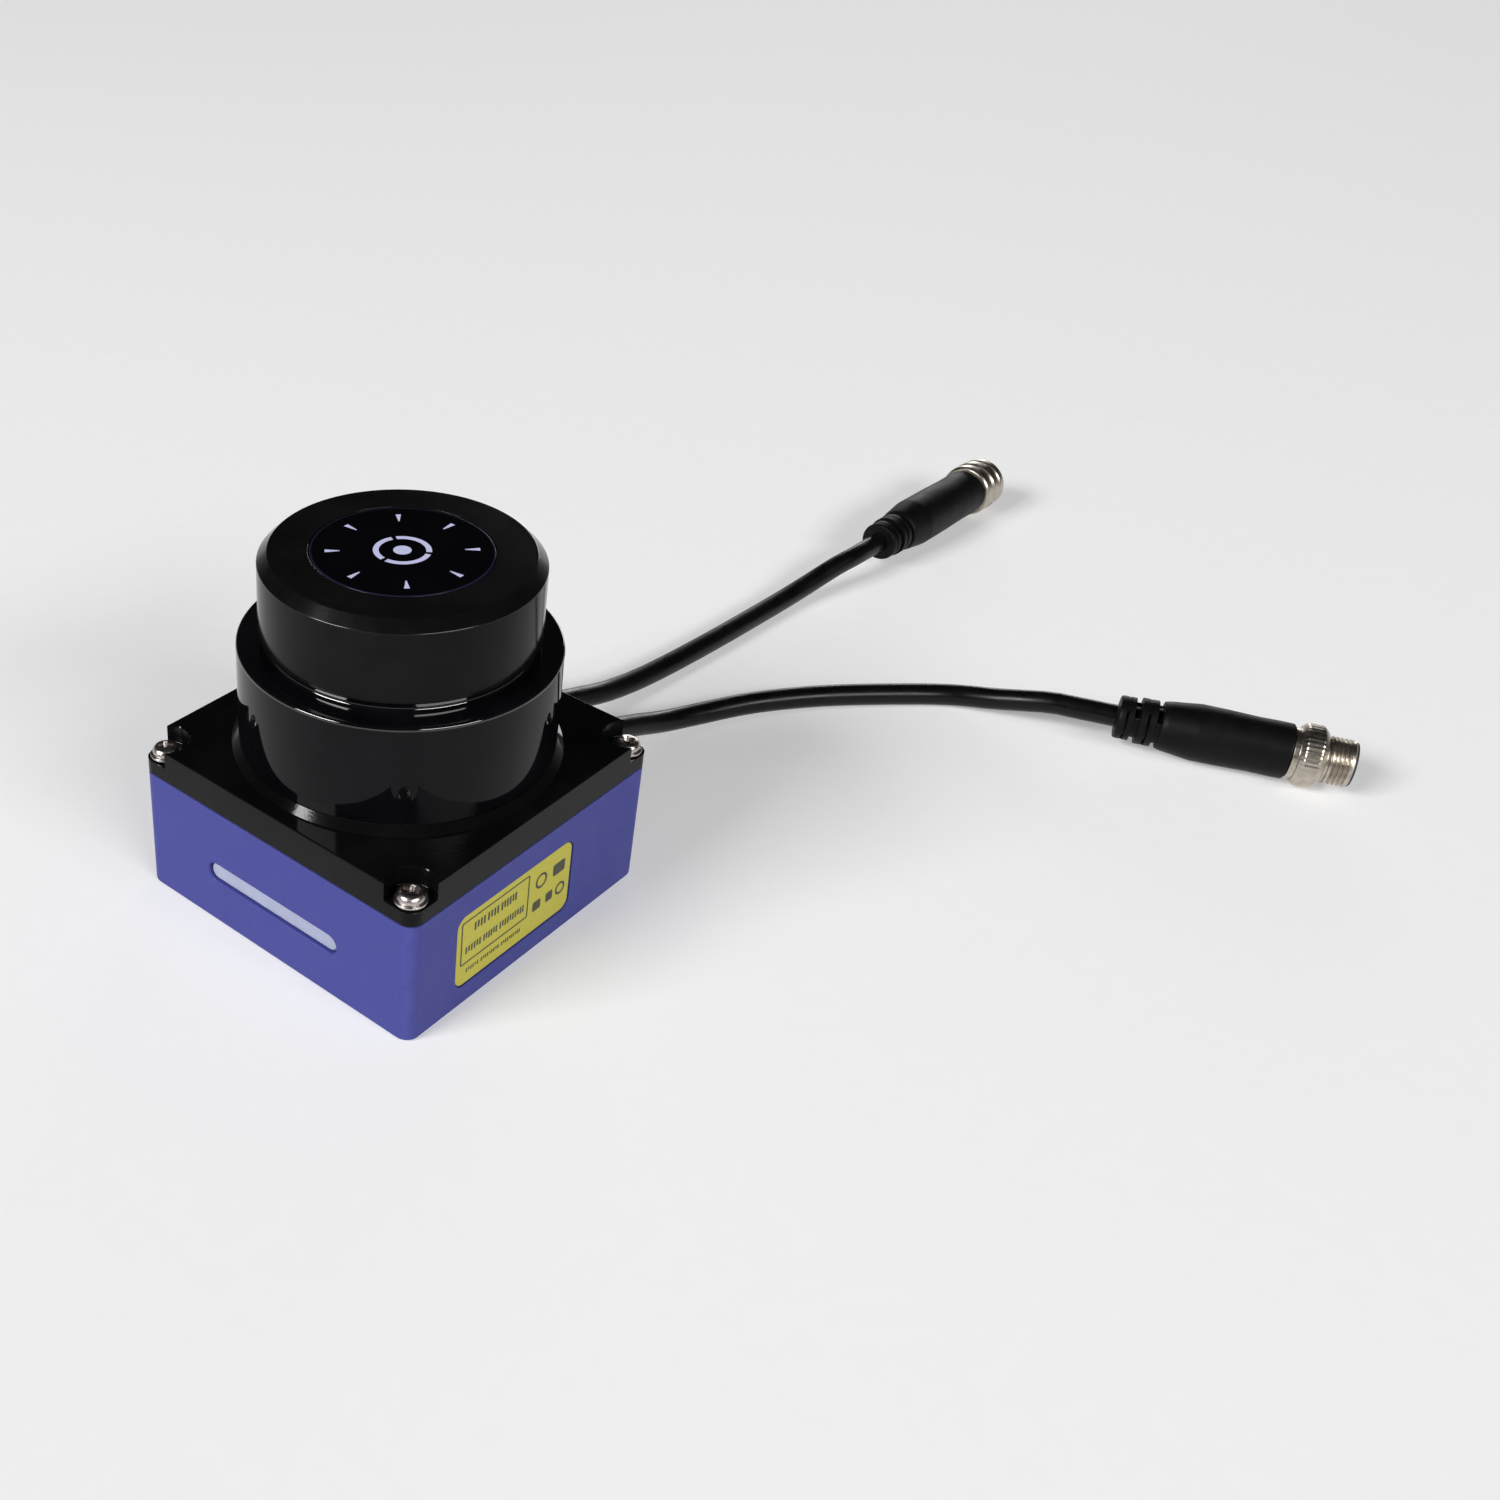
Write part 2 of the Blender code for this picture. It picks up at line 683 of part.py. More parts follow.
def encoder_disc():
    outer, inner = [], []
    pitch = 2.0 * math.pi / ENCODER_TEETH
    for i in range(ENCODER_TEETH):
        for offset, radius in ((0.0, ENCODER_R), (0.5, ENCODER_R), (0.5, TOOTH_ROOT_R), (1.0, TOOTH_ROOT_R)):
            a = pitch * (i + offset)
            outer.append((radius * math.cos(a), radius * math.sin(a)))
            inner_a = pitch * (i + (0.05 if offset == 0.0 else offset) + (0.05 if radius < 0.023 else 0.0))
            inner.append((BEARING_IN_R * math.cos(inner_a), BEARING_IN_R * math.sin(inner_a)))
    body = ring_prism("encoder_disc", outer, inner, ENCODER_Z, ENCODER_Z + ENCODER_T)
    return shade(body, steel())


def mirror_holder():
    base_low, base_high = ENCODER_Z + ENCODER_T + GAP, 0.0420
    body = rod("mirror_holder", 0.0, 0.0, base_low, base_high, 0.0140, 32)
    behind = (MIRROR_T + GAP) * math.sqrt(0.5)
    reach = 0.0100 * math.sqrt(0.5)
    top = (-reach - behind, MIRROR_Z + reach - behind)
    bottom = (reach - behind, MIRROR_Z - reach - behind)
    side = ((top[0], base_high - 0.0006), (bottom[0], base_high - 0.0006), bottom, top)
    wedge = stack("wedge", [[(x, y, z) for x, z in side] for y in (-0.0070, 0.0070)])
    join(body, wedge)
    cut(body, rod("shaft_hole", 0.0, 0.0, 0.0380, 0.0458, SHAFT_R + GAP, 20))
    return shade(body, carrier_plastic())


def scan_mirror():
    outline = [(MIRROR_A * x, MIRROR_B * y) for x, y in circle(1.0, 32)]
    body = stack("scan_mirror", (level(outline, -MIRROR_T), level(outline, 0.0)))
    move_mesh(body, Matrix.Translation((0.0, 0.0, MIRROR_Z)) @ Matrix.Rotation(math.pi / 4.0, 4, "Y"))
    return shade(body, mirror_coat())


def receiver_lens():
    profile = ((0.0037, 0.0640), (0.0065, 0.0645), (0.0095, 0.0656), (0.0095, 0.0679), (0.0037, 0.0679))
    return shade(lathe("receiver_lens", profile, 32), lens_glass())


def laser_tube():
    profile = ((0.0, 0.0636), (0.0024, 0.0636), (0.0024, 0.0629), (0.0033, 0.0629))
    profile += ((0.0033, 0.0720), (0.0026, 0.0720), (0.0026, 0.0743), (0.0, 0.0743))
    return shade(lathe("laser_tube", profile, 20, closed=False), nickel())


# ---- cable sets ----------------------------------------------------------
def cable_gland(index, x):
    profile = ((0.0, 0.0), (0.0060, 0.0), (0.0060, 0.0020), (0.0050, 0.0020), (0.0050, 0.0058))
    profile += ((0.0065, 0.0058), (0.0065, 0.0072), (0.0051, 0.0080), (0.0037, GLAND_LEN))
    profile += ((0.0, GLAND_LEN),)
    body = lathe(f"cable_gland_{index}", profile, 20, closed=False)
    move_mesh(body, Matrix.Translation((x, GLAND_Y, EXIT_Z)) @ Matrix.Rotation(-math.pi / 2.0, 4, "X"))
    return shade(body, rubber())


def smooth_path(route, step):
    """Even samples of a Catmull-Rom curve through the route points."""
    points = [Vector(p) for p in route]
    points = [2.0 * points[0] - points[1], *points, 2.0 * points[-1] - points[-2]]
    fine = []
    for i in range(1, len(points) - 2):
        p0, p1, p2, p3 = points[i - 1:i + 3]
        for k in range(16):
            t = k / 16.0
            straight = 2.0 * p1 + (p2 - p0) * t
            bend = (2.0 * p0 - 5.0 * p1 + 4.0 * p2 - p3) * t * t
            twist = (3.0 * p1 - p0 - 3.0 * p2 + p3) * t * t * t
            fine.append(0.5 * (straight + bend + twist))
    fine.append(points[-2])
    lengths = [0.0]
    for a, b in zip(fine, fine[1:]):
        lengths.append(lengths[-1] + (b - a).length)
    count = max(2, round(lengths[-1] / step))
    samples = []
    j = 0
    for i in range(count + 1):
        want = lengths[-1] * i / count
        while j < len(lengths) - 2 and lengths[j + 1] < want:
            j += 1
        span = lengths[j + 1] - lengths[j]
        samples.append(fine[j].lerp(fine[j + 1], (want - lengths[j]) / span))
    return samples


def cable(index, route):
    curve = bpy.data.curves.new(f"cable_{index}", "CURVE")
    curve.dimensions = "3D"
    curve.bevel_depth = CABLE_R
    curve.bevel_resolution = 3
    curve.use_fill_caps = True
    spline = curve.splines.new("POLY")
    samples = smooth_path(route, CABLE_STEP)
    spline.points.add(len(samples) - 1)
    for point, position in zip(spline.points, samples):
        point.co = (*position, 1.0)
    spline.use_smooth = True
    obj = bpy.data.objects.new(f"cable_{index}", curve)
    curve.materials.append(jacket())
    bpy.context.scene.collection.objects.link(obj)
    return obj


def plug_body(index, start, turn, length):
    """Moulded plug: a grooved bend relief that flares into a long round grip."""
    first, second, groove, flare = 0.0056, 0.0060, 0.0012, 0.0085
    profile = [(0.0, 0.0), (first - 0.0003, 0.0), (first, 0.0004), (first, 0.0036)]
    profile += [(first - groove, 0.0039), (first - groove, 0.0048), (second, 0.0051), (second, 0.0089)]
    profile += [(second - groove, 0.0092), (second - groove, 0.0100), (0.0060, 0.0103)]
    profile += [(0.0063, 0.0114), (PLUG_R, 0.0102 + flare), (PLUG_R - 0.0001, length - 0.0080)]
    profile += [(0.00705, length - 0.0006), (0.0065, length), (0.0, length)]
    body = lathe(f"plug_body_{index}", profile, 20, closed=False)
    place_on_axis(body, start, turn)
    return shade(body, overmould())


def coupling_nut():
    """Socket-side nut: three raised bands round two grooves, threaded bore forward."""
    profile = ((0.0046, 0.0), (0.0046, 0.0015), (0.0056, 0.0015), (0.0056, NUT_LEN), (0.0071, NUT_LEN))
    profile += ((0.0077, NUT_LEN - 0.0008), (0.0078, 0.0086), (0.0074, 0.0082), (0.0074, 0.0076))
    profile += ((RING_R, 0.0071), (RING_R, 0.0047), (0.0075, 0.0042), (0.0075, 0.0036))
    profile += ((RING_R, 0.0031), (RING_R, 0.0009), (0.0073, 0.0))
    body = lathe("coupling_nut_1", profile, 24)
    place_on_axis(body, along_axis(PLUG_1_AT, PLUG_1_TURN, PLUG_1_LEN + GAP), PLUG_1_TURN)
    return shade(body, nickel())


def coupling_screw():
    """Pin-side ring: round grip band, then a 12 mm thread drawn as plain ribs."""
    profile = [(0.0047, 0.0), (0.0047, 0.0142), (0.0056, 0.0142)]
    crest, root, pitch = 0.0060, 0.0055, 0.0010
    for i in range(5):
        at = 0.0135 - i * pitch
        profile += [(crest, at), (root, at - 0.5 * pitch)]
    profile += [(crest, 0.0080), (crest, 0.0072), (0.0074, 0.0068), (RING_R, 0.0058)]
    profile += [(RING_R, 0.0028), (0.0074, 0.0018), (0.0058, 0.0014), (0.0058, 0.0)]
    body = lathe("coupling_screw_2", profile, 32)
    place_on_axis(body, along_axis(PLUG_2_AT, PLUG_2_TURN, PLUG_2_LEN + GAP), PLUG_2_TURN)
    return shade(body, nickel())


def socket_insert():
    length = 0.0108
    body = rod("contact_insert_1", 0.0, 0.0, 0.0, length, 0.0042, 24)
    for i in range(4):
        a = math.radians(45.0 + 90.0 * i)
        cut(body, rod("socket", 0.0025 * math.cos(a), 0.0025 * math.sin(a), 0.006, 0.012, 0.0006, 8))
    place_on_axis(body, along_axis(PLUG_1_AT, PLUG_1_TURN, PLUG_1_LEN + GAP), PLUG_1_TURN)
    return shade(body, carrier_plastic())


def pin_insert():
    body = rod("contact_insert_2", 0.0, 0.0, 0.0, 0.0070, 0.0043, 24)
    for i in range(4):
        a = math.radians(45.0 + 90.0 * i)
        join(body, rod("pin", 0.0025 * math.cos(a), 0.0025 * math.sin(a), 0.006, 0.0134, 0.0005, 8))
    place_on_axis(body, along_axis(PLUG_2_AT, PLUG_2_TURN, PLUG_2_LEN + GAP), PLUG_2_TURN)
    return shade(body, carrier_plastic())


def sealing_ring():
    centre_r, thick_r, at = 0.0049, 0.00035, 0.0026
    profile = [(centre_r + x, at + z) for x, z in circle(thick_r, 6)]
    body = lathe("sealing_ring_1", profile, 20)
    place_on_axis(body, along_axis(PLUG_1_AT, PLUG_1_TURN, PLUG_1_LEN + GAP), PLUG_1_TURN)
    return shade(body, rubber(), 80.0)


def build():
    clear_scene()
    base_housing()
    cover_gasket()
    top_cover()
    window_seal()
    scan_window()
    head_chassis()
    upper_cap()
    display_lens()
    display_diffuser()
    display_board()
    status_light_guide()
    status_board()
    laser_label()
    for index, (x, y) in enumerate(four_corners(BOSS), 1):
        corner_screw(index, x, y)
        corner_washer(index, x, y)
    main_board()
    receiver_board()
    flex_carrier()
    encoder_sensor()
    motor_mount()
    motor_stator()
    bearing("bearing_lower", 0.0150, 0.0190)
    bearing("bearing_upper", 0.0315, 0.0355)
    spin_shaft()
    motor_bell()
    encoder_disc()
    mirror_holder()
    scan_mirror()
    receiver_lens()
    laser_tube()
    cable_gland(1, -EXIT_X)
    cable_gland(2, EXIT_X)
    cable(1, ROUTE_1)
    cable(2, ROUTE_2)
    plug_body(1, PLUG_1_AT, PLUG_1_TURN, PLUG_1_LEN)
    plug_body(2, PLUG_2_AT, PLUG_2_TURN, PLUG_2_LEN)
    coupling_nut()
    coupling_screw()
    socket_insert()
    pin_insert()
    sealing_ring()


build()
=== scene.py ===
"""Finished look of a compact two-drum laser scanner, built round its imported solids.

Units are metres and +Z is up; -Y is the light-bar face, +X the label face, +Y the cable face.
"""

import json
import math

import bmesh
import bpy
from mathutils import Matrix, Vector


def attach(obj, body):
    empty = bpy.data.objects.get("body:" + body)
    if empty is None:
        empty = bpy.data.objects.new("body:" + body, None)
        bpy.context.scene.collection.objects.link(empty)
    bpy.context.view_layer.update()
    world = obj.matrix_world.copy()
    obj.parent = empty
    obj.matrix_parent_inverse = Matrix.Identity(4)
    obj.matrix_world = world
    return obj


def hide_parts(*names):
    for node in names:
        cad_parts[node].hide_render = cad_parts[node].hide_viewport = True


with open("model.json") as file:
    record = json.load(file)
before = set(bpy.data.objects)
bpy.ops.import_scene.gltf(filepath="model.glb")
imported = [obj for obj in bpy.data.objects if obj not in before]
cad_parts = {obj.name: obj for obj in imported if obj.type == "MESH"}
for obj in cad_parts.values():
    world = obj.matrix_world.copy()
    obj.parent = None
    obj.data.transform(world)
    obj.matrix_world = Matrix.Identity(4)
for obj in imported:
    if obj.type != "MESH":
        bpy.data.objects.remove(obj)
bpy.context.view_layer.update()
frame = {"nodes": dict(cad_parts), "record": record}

GAP = 0.0003            # air gap between neighbouring pieces
SEAM = 0.00015          # half of the parting gap between housing and cover

# ---- housing and cover ----------------------------------------------------
BODY_HALF = 0.0400
BODY_CORNER = 0.0032
BODY_TOP = 0.0310
FOOT_EDGE = 0.0008
WALL_IN = 0.0368
CAVITY_CORNER = 0.0130
FLOOR_TOP = 0.0045
BOSS = 0.0362
SCREW_HOLE_R = 0.0018
SCREW_HOLE_END = 0.0237
MOUNT_HOLE_R = 0.0021
MOUNT_HOLE_LIP_R = 0.0026
MOUNT_HOLE_AT = 0.0260
MOUNT_HOLE_DEEP = 0.0030
POST_R = 0.0026
POST_TOP = 0.0080
REBATE_HALF = 0.0387
REBATE_CORNER = 0.0019
REBATE_Z = 0.0300
PLATE_TOP = 0.03905
PLATE_EDGE = 0.0004
POCKET_R = 0.0054
POCKET_FLOOR = 0.0346
WASHER_T = 0.00055
COVER_BORE_R = 0.0300
COVER_ROOF = 0.0360
COVER_HOLLOW = 0.0330
COVER_HOLLOW_CORNER = 0.0100
COLLAR_TOP = 0.0407
FOOT_RUN = 0.00155

# ---- drums and display -----------------------------------------------------
WINDOW_R = 0.03497
WINDOW_WALL = 0.0022
WINDOW_FOOT = 0.0410
LEDGE_Z = 0.06455
LEDGE_T = 0.00225
NECK_R = 0.0285
NECK_IN_R = 0.0264
NECK_TOP = 0.06675
CAP_R = 0.03019
CAP_WALL = 0.0022
CAP_FOOT = 0.06705
CAP_TOP = 0.08545
CAP_CHAMFER = 0.00227
DISPLAY_R = 0.01955
DISPLAY_SEAT = 0.08365
DIFFUSER_R = 0.0170
CAP_CEILING = 0.0828
LENS_TOP = CAP_TOP - 0.0001

# ---- light bar and label ---------------------------------------------------
LIGHT_Z = 0.0141
LIGHT_LEN = 0.0382
LIGHT_H = 0.0042
LIGHT_RECESS = 0.0007
LABEL_Y = -0.0059
LABEL_Z = 0.01495
LABEL_W = 0.0384
LABEL_H = 0.0187
LABEL_CORNER = 0.0025
LABEL_T = 0.00025
LABEL_RECESS = 0.0005
INK_T = 0.00003

# ---- cables and plugs ------------------------------------------------------
CABLE_R = 0.0029
EXIT_X = 0.0090
EXIT_Z = 0.0110
GLAND_Y = 0.0345
GLAND_LEN = 0.0195
GLAND_HOLE_R = 0.0053
PLUG_1_AT = (0.0060, 0.2131, 0.0082)
PLUG_1_TURN = math.radians(86.95)
PLUG_1_LEN = 0.0500
PLUG_2_AT = (0.0980, 0.1694, 0.0082)
PLUG_2_TURN = math.radians(20.3)
PLUG_2_LEN = 0.0400
PLUG_R = 0.00735
NUT_LEN = 0.0114

ROUTE_1 = (
    (-0.0090, 0.0543, 0.0110),
    (-0.0090, 0.0670, 0.0110),
    (-0.0083, 0.0790, 0.0080),
    (-0.0070, 0.0930, 0.0045),
    (-0.0050, 0.1100, 0.00310),
    (-0.0026, 0.1350, 0.00305),
    (-0.0006, 0.1650, 0.00320),
    (0.0012, 0.1800, 0.0046),
    (0.0036, 0.1920, 0.0071),
    (0.00532, 0.2000, 0.0082),
    (0.0060, 0.2128, 0.0082),
)
ROUTE_2 = (
    (0.0090, 0.0543, 0.0110),
    (0.0090, 0.0670, 0.0110),
    (0.0100, 0.0790, 0.0080),
    (0.0122, 0.0915, 0.0044),
    (0.0158, 0.1025, 0.00310),
    (0.0228, 0.1164, 0.00305),
    (0.0326, 0.1302, 0.00305),
    (0.0436, 0.1424, 0.00305),
    (0.0582, 0.1560, 0.00320),
    (0.0700, 0.1607, 0.0049),
    (0.0765, 0.1620, 0.0067),
    (0.0830, 0.1639, 0.0081),
    (0.0883, 0.1658, 0.0082),
    (0.09772, 0.1693, 0.0082),
)

# ---- studio ----------------------------------------------------------------
CAMERA_AT = (0.20303, -0.23337, 0.25027)
CAMERA_TURN = math.radians(43.8327)
CAMERA_TILT = math.radians(34.6858)
CAMERA_LENS = 40.64
CAMERA_SHIFT = (0.2809, -0.00285)
AIM = Vector((0.0, 0.0, 0.045))


# ============================================================================
# camera, floor and lights
# ============================================================================
def add_camera():
    data = bpy.data.cameras.new("camera")
    data.sensor_width = 36.0
    data.lens = CAMERA_LENS
    data.shift_x, data.shift_y = CAMERA_SHIFT
    data.clip_start, data.clip_end = 0.01, 20.0
    camera = bpy.data.objects.new("camera", data)
    bpy.context.scene.collection.objects.link(camera)
    turn = Matrix.Rotation(CAMERA_TURN, 4, "Z")
    tilt = Matrix.Rotation(math.pi / 2.0 - CAMERA_TILT, 4, "X")
    camera.matrix_world = Matrix.Translation(CAMERA_AT) @ turn @ tilt
    bpy.context.scene.camera = camera


def add_floor():
    bm = bmesh.new()
    reach, drop = 3.0, -0.00004
    corners = ((-1, -1), (1, -1), (1, 1), (-1, 1))
    bm.faces.new([bm.verts.new((sx * reach, sy * reach, drop)) for sx, sy in corners])
    mesh = bpy.data.meshes.new("floor")
    bm.to_mesh(mesh)
    bm.free()
    floor = bpy.data.objects.new("floor", mesh)
    bpy.context.scene.collection.objects.link(floor)
    mat, tree, shader = principled("floor_paper", (0.66, 0.66, 0.665), 0.85)
    grain = noise(tree, 180.0, 3.0)
    tint(tree, shader, grain, (0.645, 0.645, 0.65), (0.675, 0.675, 0.68))
    shader.inputs["Specular IOR Level"].default_value = 0.10
    shader.inputs["Emission Color"].default_value = (1.0, 1.0, 1.0, 1.0)
    shader.inputs["Emission Strength"].default_value = 0.30
    mesh.materials.append(mat)


def soft_box(name, azimuth, elevation, distance, width, height, power):
    azimuth, elevation = math.radians(azimuth), math.radians(elevation)
    flat = math.cos(elevation)
    towards = Vector((math.cos(azimuth) * flat, math.sin(azimuth) * flat, math.sin(elevation)))
    data = bpy.data.lights.new(name, "AREA")
    data.shape = "RECTANGLE"
    data.size, data.size_y = width, height
    data.energy = power
    lamp = bpy.data.objects.new(name, data)
    bpy.context.scene.collection.objects.link(lamp)
    facing = towards.to_track_quat("Z", "Y").to_matrix().to_4x4()
    lamp.matrix_world = Matrix.Translation(AIM + distance * towards) @ facing


def add_room():
    """Pale walls that fade into a dark ceiling, so level gloss stays black and upright gloss turns grey."""
    world = bpy.data.worlds.new("room")
    bpy.context.scene.world = world
    world.use_nodes = True
    tree = world.node_tree
    coords = tree.nodes.new("ShaderNodeTexCoord")
    split = tree.nodes.new("ShaderNodeSeparateXYZ")
    ramp = tree.nodes.new("ShaderNodeValToRGB")
    tree.links.new(coords.outputs["Generated"], split.inputs[0])
    tree.links.new(split.outputs["Z"], ramp.inputs["Fac"])
    tree.links.new(ramp.outputs["Color"], tree.nodes["Background"].inputs["Color"])
    stops = ((0.0, 0.30), (0.08, 0.16), (0.20, 0.03), (0.40, 0.010), (1.0, 0.012))
    ramp.color_ramp.elements[0].position = stops[0][0]
    ramp.color_ramp.elements[1].position = stops[-1][0]
    for position, _ in stops[1:-1]:
        ramp.color_ramp.elements.new(position)
    for element, (_, value) in zip(ramp.color_ramp.elements, stops):
        element.color = (value, value, value * 1.02, 1.0)
    tree.nodes["Background"].inputs["Strength"].default_value = 1.0


def add_studio():
    bpy.context.scene.view_settings.view_transform = "Standard"
    add_camera()
    add_room()
    soft_box("soft_box_left", -108.0, 34.0, 4.5, 2.00, 1.20, 180.0)
    soft_box("soft_box_right", -12.0, 32.0, 4.5, 3.00, 0.96, 122.0)
    soft_box("soft_box_back", 112.0, 10.0, 3.5, 1.60, 0.60, 20.0)
    add_floor()


# ============================================================================
# materials
# ============================================================================
def principled(name, colour, roughness, metallic=0.0):
    mat = bpy.data.materials.new(name)
    mat.use_nodes = True
    tree = mat.node_tree
    shader = tree.nodes["Principled BSDF"]
    shader.inputs["Base Color"].default_value = (*colour, 1.0)
    shader.inputs["Roughness"].default_value = roughness
    shader.inputs["Metallic"].default_value = metallic
    mat.diffuse_color = (*colour, 1.0)
    return mat, tree, shader


def position(tree):
    node = tree.nodes.get("Texture Coordinate") or tree.nodes.new("ShaderNodeTexCoord")
    return node.outputs["Object"]


def noise(tree, scale, detail=3.0, roughness=0.5, stretch=None):
    node = tree.nodes.new("ShaderNodeTexNoise")
    node.inputs["Scale"].default_value = scale
    node.inputs["Detail"].default_value = detail
    node.inputs["Roughness"].default_value = roughness
    if stretch:
        mapping = tree.nodes.new("ShaderNodeMapping")
        mapping.inputs["Scale"].default_value = stretch
        tree.links.new(position(tree), mapping.inputs["Vector"])
        tree.links.new(mapping.outputs["Vector"], node.inputs["Vector"])
    else:
        tree.links.new(position(tree), node.inputs["Vector"])
    return node.outputs["Fac"]


def remap(tree, value, low, high, to_low, to_high):
    node = tree.nodes.new("ShaderNodeMapRange")
    node.inputs["From Min"].default_value = low
    node.inputs["From Max"].default_value = high
    node.inputs["To Min"].default_value = to_low
    node.inputs["To Max"].default_value = to_high
    tree.links.new(value, node.inputs["Value"])
    return node.outputs["Result"]


def maths(tree, operation, a, b=None):
    node = tree.nodes.new("ShaderNodeMath")
    node.operation = operation
    for slot, value in zip(node.inputs, (a, b)):
        if isinstance(value, (int, float)):
            slot.default_value = value
        elif value is not None:
            tree.links.new(value, slot)
    return node.outputs["Value"]


def blend_colour(tree, factor, first, second):
    node = tree.nodes.new("ShaderNodeMix")
    node.data_type = "RGBA"
    tree.links.new(factor, node.inputs["Factor"])
    sockets = [s for s in node.inputs if s.type == "RGBA"]
    for socket, colour in zip(sockets, (first, second)):
        if isinstance(colour, tuple):
            socket.default_value = (*colour, 1.0)
        else:
            tree.links.new(colour, socket)
    return next(s for s in node.outputs if s.type == "RGBA")


def tint(tree, shader, factor, first, second):
    colour = blend_colour(tree, factor, first, second)
    tree.links.new(colour, shader.inputs["Base Color"])
    return colour


def rough(tree, shader, value, low, high, to_low, to_high):
    tree.links.new(remap(tree, value, low, high, to_low, to_high), shader.inputs["Roughness"])


def bump(tree, shader, height, distance, strength=1.0):
    node = tree.nodes.new("ShaderNodeBump")
    node.inputs["Strength"].default_value = strength
    node.inputs["Distance"].default_value = distance
    tree.links.new(height, node.inputs["Height"])
    previous = shader.inputs["Normal"].links
    if previous:
        tree.links.new(previous[0].from_socket, node.inputs["Normal"])
    tree.links.new(node.outputs["Normal"], shader.inputs["Normal"])


def specks(tree, scale, size):
    """Sparse round dots of dust, 1 on a dot and 0 elsewhere."""
    node = tree.nodes.new("ShaderNodeTexVoronoi")
    node.inputs["Scale"].default_value = scale
    tree.links.new(position(tree), node.inputs["Vector"])
    return remap(tree, node.outputs["Distance"], size, size * 0.6, 0.0, 1.0)


def body_edges(tree):
    """Mask of the painted edge highlight: 1 along the housing's upright corners and its top and foot edges,
    0 on its flats.
    """
    split = tree.nodes.new("ShaderNodeSeparateXYZ")
    tree.links.new(position(tree), split.inputs[0])
    across_x = maths(tree, "ABSOLUTE", split.outputs["X"])
    across = maths(tree, "ADD", across_x, maths(tree, "ABSOLUTE", split.outputs["Y"]))
    corner = remap(tree, across, 0.0772, 0.0782, 0.0, 1.0)
    top = remap(tree, split.outputs["Z"], 0.0304, 0.0308, 0.0, 1.0)
    foot = remap(tree, split.outputs["Z"], 0.0009, 0.0003, 0.0, 1.0)
    return maths(tree, "MAXIMUM", corner, maths(tree, "MAXIMUM", top, foot))


def blue_paint():
    mat, tree, shader = principled("blue_paint", (0.085, 0.088, 0.36), 0.45)
    cloud = noise(tree, 45.0, 2.0)
    base = blend_colour(tree, cloud, (0.056, 0.062, 0.272), (0.064, 0.070, 0.300))
    grain = remap(tree, noise(tree, 2600.0, 2.0, 0.7), 0.38, 0.66, 0.0, 1.0)
    grained = blend_colour(tree, grain, (0.050, 0.054, 0.245), base)
    edges = body_edges(tree)
    # Painted highlight: the blue is lightened along the upright corners and the top and foot edges, where
    # the rounds catch the lamps, and noise varies how strong it is.
    painted_edge_highlight = maths(tree, "MULTIPLY", edges, remap(tree, noise(tree, 420.0, 4.0), 0.3, 0.75, 0.05, 0.20))
    tint(tree, shader, painted_edge_highlight, grained, (0.15, 0.155, 0.44))
    rough(tree, shader, noise(tree, 160.0, 3.0), 0.3, 0.7, 0.42, 0.54)
    shader.inputs["Specular IOR Level"].default_value = 0.14
    bump(tree, shader, noise(tree, 1500.0, 3.0, 0.6), 0.00004, 0.8)
    bump(tree, shader, noise(tree, 90.0, 2.0), 0.00003, 0.5)
    return mat


def gloss_black(name, colour, low, high, ripple, specular, polished_above):
    """Deep gloss moulding, satin on its walls and polished above a given height."""
    mat, tree, shader = principled(name, colour, low)
    dust = specks(tree, 240.0, 0.030)
    haze = noise(tree, 55.0, 4.0, 0.6)
    paler = tuple(c * 1.7 + 0.001 for c in colour)
    base = blend_colour(tree, remap(tree, haze, 0.35, 0.7, 0.0, 1.0), colour, paler)
    tint(tree, shader, maths(tree, "MULTIPLY", dust, 0.3), base, (0.06, 0.06, 0.065))
    rough(tree, shader, haze, 0.3, 0.7, low, high)
    bump(tree, shader, noise(tree, 420.0, 2.0), ripple, 0.6)
    split = tree.nodes.new("ShaderNodeSeparateXYZ")
    tree.links.new(position(tree), split.inputs[0])
    level_up = remap(tree, split.outputs["Z"], polished_above - 0.0002, polished_above, *specular)
    tree.links.new(level_up, shader.inputs["Specular IOR Level"])
    return mat


def black_plastic():
    mat, tree, shader = principled("black_plastic", (0.008, 0.008, 0.009), 0.20)
    split = tree.nodes.new("ShaderNodeSeparateXYZ")
    normal = tree.nodes.new("ShaderNodeNewGeometry")
    tree.links.new(normal.outputs["Normal"], split.inputs[0])
    upright = remap(tree, maths(tree, "ABSOLUTE", split.outputs["Z"]), 0.25, 0.75, 1.0, 0.0)
    haze = noise(tree, 60.0, 4.0, 0.6)
    dust = specks(tree, 230.0, 0.030)
    amount = remap(tree, haze, 0.35, 0.7, 0.0, 1.0)
    base = blend_colour(tree, amount, (0.0026, 0.0026, 0.0029), (0.0052, 0.0052, 0.0057))
    tint(tree, shader, maths(tree, "MULTIPLY", dust, 0.3), base, (0.06, 0.06, 0.065))
    sheen = remap(tree, haze, 0.3, 0.7, 0.05, 0.09)
    satin = maths(tree, "ADD", sheen, maths(tree, "MULTIPLY", upright, 0.20))
    tree.links.new(satin, shader.inputs["Roughness"])
    bump(tree, shader, noise(tree, 1700.0, 2.0), 0.000010, 0.5)
    gloss = maths(tree, "SUBTRACT", 0.24, maths(tree, "MULTIPLY", upright, 0.14))
    tree.links.new(gloss, shader.inputs["Specular IOR Level"])
    return mat


def cap_plastic():
    polished_above = CAP_TOP - CAP_CHAMFER
    colour = (0.0032, 0.0032, 0.0036)
    return gloss_black("cap_plastic", colour, 0.12, 0.19, 0.000006, (0.10, 0.42), polished_above)


